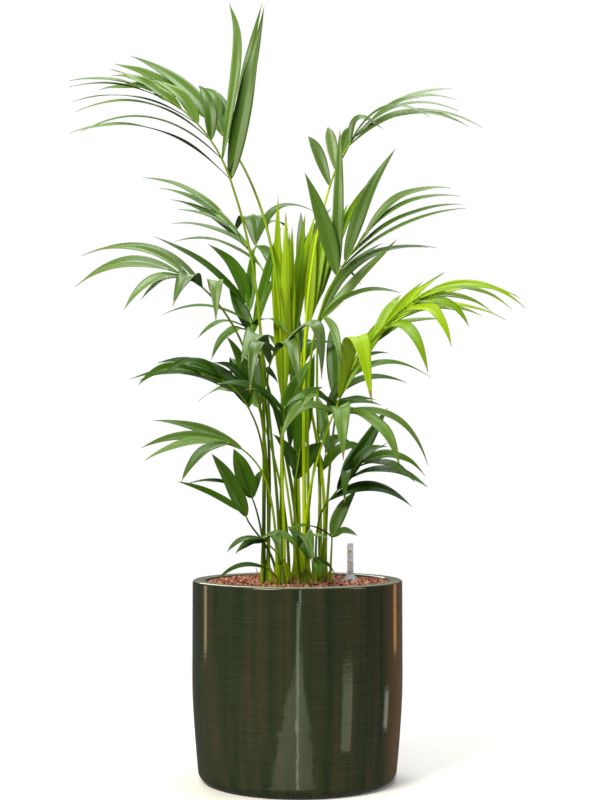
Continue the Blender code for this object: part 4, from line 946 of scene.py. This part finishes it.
# %% Stalks
STALK_RINGS, RIB_RINGS, STALK_ROUND = 44, 20, 12
SHEATH_RINGS, SHEATH_SWELL, SHEATH_FADE, SHEATH_SPREAD = 5, 0.35, 0.035, 0.0125
CHANNEL_DEPTH, CHANNEL_WIDTH = 0.24, 0.65


def stem(frond):
    """One stalk with its rib: rings of radius r (1 - depth exp(-(a / width) squared)), where a
    is the angle from the inner side, and r swells by exp(-height / fade) above the bed. A
    longer stalk is thicker."""
    foot = feet[frond["name"]]
    line = stalk_line(frond, foot, STALK_RINGS)
    thick = STALK_LEAST_RADIUS + STALK_GROWTH * np.linalg.norm(line[-1] - line[0])
    radii = np.linspace(1, STALK_TAPER, STALK_RINGS) * thick
    line = np.vstack([line, rib_line(frond, RIB_RINGS)[1:]])
    radii = np.append(radii, np.linspace(radii[-1], RIB_TIP_RADIUS, RIB_RINGS))
    if foot[2] > BED_TOP + CANE_HEIGHT / 2:
        middle = cane_line(frond["cane"])
        out = unit(foot - middle[-1] - UP * (foot - middle[-1])[2])
        share = np.linspace(0, 1, SHEATH_RINGS, endpoint=False)[:, None]
        base = middle[0] + out * SHEATH_SPREAD
        line = np.vstack([base + (foot - base) * share ** 0.8, line])
        radii = np.append(np.full(SHEATH_RINGS, radii[0]), radii)
    height = line[:, 2] - BED_TOP
    radii = radii * (1 + SHEATH_SWELL * np.exp(-height / SHEATH_FADE))
    angle = np.arange(STALK_ROUND) * 2 * np.pi / STALK_ROUND - np.pi / 2
    angle = (angle + np.pi) % (2 * np.pi) - np.pi
    dip = 1 - CHANNEL_DEPTH * np.exp(-(angle / CHANNEL_WIDTH) ** 2)
    rings = round_rings(line, directions(line), radii[:, None] * dip, STALK_ROUND)
    return rings, height, np.stack([walked(line)[:, None] + 0 * angle, radii[:, None] * angle], -1)


# Waxy green skin: smooth and satin, with fine upright ribs a millimetre apart. Some sheaths
# are tan at their foot, where they have dried.
STALK_TONES = {"sheath_green": "#8CAA10", "sheath_olive": "#7C8620", "stalk_green": "#789600",
               "stalk_deep_green": "#507000", "stalk_yellow_green": "#AAC600",
               "rib_green": "#7E9C1C", "sheath_tan": "#A8946A"}
stalk_skins = [grained(name, (18, 1100, 1), 2, depth=0.0001, on="UV", Roughness=0.42,
                       Specular_IOR_Level=0.15, Base_Color=linear(tone))
               for name, tone in STALK_TONES.items()]
SHEATHS, STEMS, RIB, TAN = (0, 1, 6), (2, 3, 4), 5, 6
SHEATH_SHARES, STEM_SHARES = (0.6, 0.12, 0.28), (0.5, 0.25, 0.25)
SHEATH_HEIGHTS, TAN_HEIGHTS = (0.004, 0.045), (0.008, 0.020)

bodies = []
for frond in FRONDS:
    rng = seeded(frond["name"], 1)
    rings, height, uv = stem(frond)
    tone = rng.choice(STEMS, p=STEM_SHARES) if frond["tint"] != "lime" else STEMS[2]
    sheath = rng.choice(SHEATHS, p=SHEATH_SHARES)
    top = rng.uniform(*(TAN_HEIGHTS if sheath == TAN else SHEATH_HEIGHTS))
    by_ring = np.where(height[:-1] < top, sheath, tone)
    by_ring[-RIB_RINGS:] = RIB
    kinds = np.append(np.repeat(by_ring, STALK_ROUND), [tone] * (STALK_ROUND - 2))
    bodies.append((rings, kinds, uv))
stalks = piece("stalks", *stacked(bodies), materials=stalk_skins)
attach(stalks, "root")
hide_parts(*["stalk_" + frond["name"] for frond in FRONDS if not frond["short"]])

# %% [markdown]
# ## Canes and their old sheaths
#
# The canes are short, and wrapped in the fibres that old sheaths leave behind. Their radius
# carries the relief: a slow swell for each leaf scar and a fine ripple for the fibres. Torn
# scraps of dry sheath stand round them, thin curved sheets with a point. Such a sheet is the
# same surface as a leaflet, a line with a width and a lift across it, so the function that
# makes both is written here.

# %% Canes
CANE_RINGS, CANE_ROUND = 30, 60
FIBRES, FIBRE_DEPTH, FIBRE_DRIFT, SCAR_DEPTH, SCAR_TURN = 23, 0.03, 0.25, 0.02, 22
CANE_TAPER, CANE_END, CANE_END_STEEP = 0.35, 0.14, 14


def cane_rings(cane, rng):
    """A cane: radius (1 + scar cos(height) + fibre cos(23 a + drift)), a the angle round it,
    drawn in at both ends."""
    coarse = cane_line(cane)
    rise = np.linspace(0, 1, CANE_RINGS)
    line = coarse[0] + rise[:, None] * (coarse[-1] - coarse[0])
    steps = np.linspace(0, 1, len(CANE_RADII)) ** CANE_STEPS
    radii = np.interp(rise, steps, CANE_RADII)[:, None]
    angle = np.arange(CANE_ROUND) * 2 * np.pi / CANE_ROUND
    drift = np.cumsum(rng.normal(0, FIBRE_DRIFT, CANE_RINGS))[:, None]
    relief = (1 + SCAR_DEPTH * np.cos(rise[:, None] * SCAR_TURN + rng.uniform(0, 6))
              + FIBRE_DEPTH * np.cos(FIBRES * angle + drift))
    ends = np.clip(np.minimum(rise, 1 - rise) * CANE_END_STEEP, 0.0, 1)[:, None] ** 0.5
    relief = relief * (1 - CANE_END + CANE_END * ends) * (1 - CANE_TAPER * rise[:, None])
    return round_rings(line, np.tile(UP, (CANE_RINGS, 1)), radii * relief, CANE_ROUND)


# Dry fibre over live green: matt, streaked upright every 2 mm with brown, tan and olive
fibre = grained("fibrous_sheath", (500, 500, 30), 4, depth=0.0008, Roughness=0.8,
                Specular_IOR_Level=0.3, tones=[(0.30, "#5A5A1C"), (0.45, "#708420"),
                                               (0.60, "#86A026"), (0.74, "#BCAE74")])
rng = np.random.default_rng(5)
canes = piece("canes", *stacked([(cane_rings(cane, rng),) for cane in CANES]), materials=[fibre])
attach(canes, "root")
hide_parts(*["cane_%d" % cane for cane in CANES])

# %% Thin sheets
def sheet(line, normal, across, half, s, lift, thickness):
    """A closed thin sheet round a line: line + half s across + lift normal, s from -1 to 1, and
    under it the same less its thickness. Returns its rings and its UV, both in metres."""
    upper = (line[:, None] + across[:, None] * (half[:, None] * s)[..., None]
             + normal[:, None] * lift[..., None])
    lower = upper - normal[:, None] * thickness[..., None]
    uv = np.stack([walked(line)[:, None] + 0 * s, half[:, None] * s], -1)
    return np.hstack([upper, lower[:, ::-1]]), np.hstack([uv, uv[:, ::-1]])


SCRAPS_A_CANE, SCRAP_RINGS, SCRAP_ACROSS = 3, 14, 9
SCRAP_HEIGHTS, SCRAP_WIDTHS, SCRAP_STANDOFF = (0.018, 0.046), (0.007, 0.011), 0.0085
SCRAP_LEANS, SCRAP_POINTS, SCRAP_LEAST = (0.05, 0.25), (1.5, 3), 0.02
SCRAP_CUP, SCRAP_THICK, SCRAP_CRINKLE = 0.55, 0.0005, 0.0004


def scrap(cane, rng):
    """A dry shard of sheath: it stands on the bed against its cane, cupped round it by
    -cup half s squared, leans out at its top, and narrows to a point."""
    around = rng.uniform(0, 2 * np.pi)
    out = np.array([np.cos(around), np.sin(around), 0.0])
    share = np.linspace(0, 1, SCRAP_RINGS)
    height = rng.uniform(*SCRAP_HEIGHTS)
    lean = rng.uniform(*SCRAP_LEANS) * height * share ** 2
    away = (CANE_RADII[0] + SCRAP_STANDOFF + lean)[:, None]
    line = cane_line(cane)[0] + out * away + UP * (height * share)[:, None]
    along = directions(line)
    across = np.cross(along, unit(out - along * (along @ out)[:, None]))
    half = rng.uniform(*SCRAP_WIDTHS) / 2
    half = half * np.clip(1 + SCRAP_LEAST - share ** rng.uniform(*SCRAP_POINTS), SCRAP_LEAST, 1)
    s = np.linspace(-1, 1, SCRAP_ACROSS)
    lift = -SCRAP_CUP * half[:, None] * s ** 2 + SCRAP_CRINKLE * np.sin(9 * s + 14 * share[:, None])
    thickness = np.full(lift.shape, SCRAP_THICK)
    return sheet(line, np.cross(across, along), across, half, s, lift, thickness)


# Dry papery sheath: tan, ribbed lengthwise every 1.5 mm, dull
papery = grained("papery_sheath", (25, 650, 1), depth=0.0005, on="UV", Roughness=0.75,
                 Specular_IOR_Level=0.3,
                 tones=[(0.3, "#7A5A34"), (0.5, "#A5834F"), (0.7, "#C6AA74")])
points, faces, uv = stacked([scrap(cane, rng) for cane in CANES for _ in range(SCRAPS_A_CANE)])
old_sheaths = piece("old_sheaths", points, faces, uv=uv, materials=[papery])
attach(old_sheaths, "root")

# %% [markdown]
# ## Leaflets
#
# A kentia leaflet is a long satin blade, folded once along its middle, pleated by its veins,
# thin as card, and never quite flat. A picture of a leaf on a card would save faces, but would
# have no edge and no fold from the side. So each leaflet is a closed sheet of its own: its line
# and its width are the rule's, a fold and fine pleats lift it across, a slow wave runs along
# its edges, and it twists a little on its way.

# %% Leaf surface
LEAF_RINGS, LEAF_ACROSS = 40, 11
LEAF_FOLD, FOLD_FADE, FOLD_ROUND, MIDRIB_NARROW = 0.30, 0.5, 0.01, 1.6
PLEAT, EDGE_WAVE, EDGE_SLANT, LEAF_TWIST = 0.00022, 0.10, 1.3, 8.0
LEAF_THICK, EDGE_THIN, TIP_HALF = 0.0006, 0.35, 0.00035


def fine_leaf(curve, width, turn, rng):
    """A leaflet: lift = half (fold (|s| - 1) + wave sin(along) s |s|) + pleat, where the fold
    fades to the tip, s runs across from -1 to 1, and pleats alternate from vein to vein."""
    share = np.linspace(0, 1, LEAF_RINGS)
    line = arch(*curve, share)
    along, normal, across = leaf_frame(line, turn)
    twist = np.radians(LEAF_TWIST) * rng.normal()
    twist = twist * np.sin(share * np.pi * rng.uniform(0.6, 1.6))[:, None]
    normal, across = (np.cos(twist) * normal + np.sin(twist) * across,
                      np.cos(twist) * across - np.sin(twist) * normal)
    half = np.maximum(width * leaf_width(share) / 2, TIP_HALF)
    share = share[:, None]
    s = np.linspace(-1, 1, LEAF_ACROSS)
    s = np.sign(s) * np.abs(s) ** MIDRIB_NARROW
    fold = LEAF_FOLD * (1 - FOLD_FADE * share) * (np.sqrt(s ** 2 + FOLD_ROUND) - 1)
    waves = rng.uniform(1.2, 2.6) * 2 * np.pi * share + rng.uniform(0, 2 * np.pi, LEAF_ACROSS)[0]
    wave = EDGE_WAVE * np.sin(waves + EDGE_SLANT * s) * s * np.abs(s) * rng.normal()
    pleat = PLEAT * (-1) ** np.arange(LEAF_ACROSS) * (1 - s ** 2) * np.sin(np.pi * share) ** 0.5
    lift = half[:, None] * (fold + wave) + pleat
    thickness = LEAF_THICK * (EDGE_THIN + (1 - EDGE_THIN) * (1 - np.abs(s)) ** 0.5)
    return sheet(line, normal, across, half, s, lift, thickness * np.ones_like(lift))


# %% Leaf colours
# Living leaf: waxy cuticle over green, satin, with parallel veins 1.6 mm apart. Each leaflet
# has one plain colour of its own kind, and its underside and middle vein have theirs.
LEAF_TONES = {
    "dark": {"face": ("#426114", "#4E6D20", "#375506", "#5A792A"), "underside": ("#3E5E1C",),
             "midrib": ("#48681A",)},
    # Painted shade: the deep fronds, low down and inside the clump, take darker greens for the
    # shade there
    "deep": {"face": ("#325404", "#3D6406", "#264602", "#49700C"), "underside": ("#34540E",),
             "midrib": ("#345606",)},
    "sage": {"face": ("#4A6622", "#58722F", "#3F5A18"), "underside": ("#3E5C24",),
             "midrib": ("#4E6C26",)},
    # Young leaflets are lime. Their faces are also made brighter as painted light shining through
    # them
    "lime": {"face": ("#7A9C00", "#8AAA04", "#668A00"), "underside": ("#98B81C",),
             "midrib": ("#7E9E08",)},
}
LEAF_SHEEN = {"dark": 0.25, "deep": 0.15, "sage": 0.35, "lime": 0.15}
FACE_ROUGHNESS, BACK_ROUGHNESS = 0.40, 0.5
DRY_TIP_SHARE, DRY_TIP_RINGS = 0.25, 2
leaf_skins, index = [], {}


def leaf_skin(name, tone, roughness, sheen):
    """Adds one leaf colour to the crown's, under its name."""
    index[name] = len(leaf_skins)
    leaf_skins.append(grained(name, (12, 620, 1), depth=0.00012, on="UV", Base_Color=linear(tone),
                              Roughness=roughness, Specular_IOR_Level=sheen))


for tint, parts in LEAF_TONES.items():
    for part, tones in parts.items():
        for number, tone in enumerate(tones):
            leaf_skin("%s_%s_%d" % (tint, part, number + 1), tone,
                      FACE_ROUGHNESS if part == "face" else BACK_ROUGHNESS, LEAF_SHEEN[tint])
leaf_skin("dry_leaf_tip", "#8C7440", 0.7, 0.2)


def leaf_kinds(tint, rng):
    """The material of each face: face, middle vein and underside, and a dry tip on some."""
    tone = index["%s_face_%d" % (tint, rng.integers(len(LEAF_TONES[tint]["face"])) + 1)]
    around = np.repeat([tone, index[tint + "_underside_1"]], LEAF_ACROSS)
    around[LEAF_ACROSS // 2 - 1:LEAF_ACROSS // 2 + 1] = index[tint + "_midrib_1"]
    kinds = np.tile(around, (LEAF_RINGS - 1, 1))
    if rng.random() < DRY_TIP_SHARE:
        kinds[-DRY_TIP_RINGS:] = index["dry_leaf_tip"]
    return np.append(kinds.ravel(), [tone] * (2 * LEAF_ACROSS - 2))


print(len(leaf_skins), "leaf colours")

# %% [markdown]
# ## The crown
#
# Each leaflet could be an object, but hundreds of objects are slow to handle and to export, so
# the leaflets of neighbouring fronds are joined into a few meshes, each below 200,000
# triangles. Each of these stands for the solids of its own fronds.

# %% Crown
GROUPS = {
    "leaves_top": ("tall_left", "tall_left_back", "tall_right", "upper_right", "mid_right"),
    "leaves_lime": ("lime_right", "lime_centre", "lime_centre_right"),
    "leaves_left": ("weeping_left", "mid_left", "arched_left", "low_left", "upper_left_back"),
    "leaves_centre": ("front_centre", "inner_centre", "inner_front", "oval_left", "spear_left",
                      "skirt_left", "ground_left", "ground_right", "skirt_front", "skirt_right"),
    "leaves_right": ("low_right", "front_right", "low_right_back"),
    "leaves_back": ("back_centre", "back_right", "back_low_left", "back_low_right", "back_middle"),
}
for group, names in GROUPS.items():
    bodies = []
    for name in names:
        rng = seeded(name, 2)
        for leaflet in leaf_curves(palm[name]):
            rings, uv = fine_leaf(*leaflet, rng)
            bodies.append((rings, leaf_kinds(palm[name]["tint"], rng), uv))
    crown = piece(group, *stacked(bodies), materials=leaf_skins)
    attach(crown, "root")
    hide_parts(*["frond_" + name for name in names])

# %% [markdown]
# ## Finish
#
# The dressed palm must be as large as its solids.

# %% Finish
bpy.context.view_layer.update()
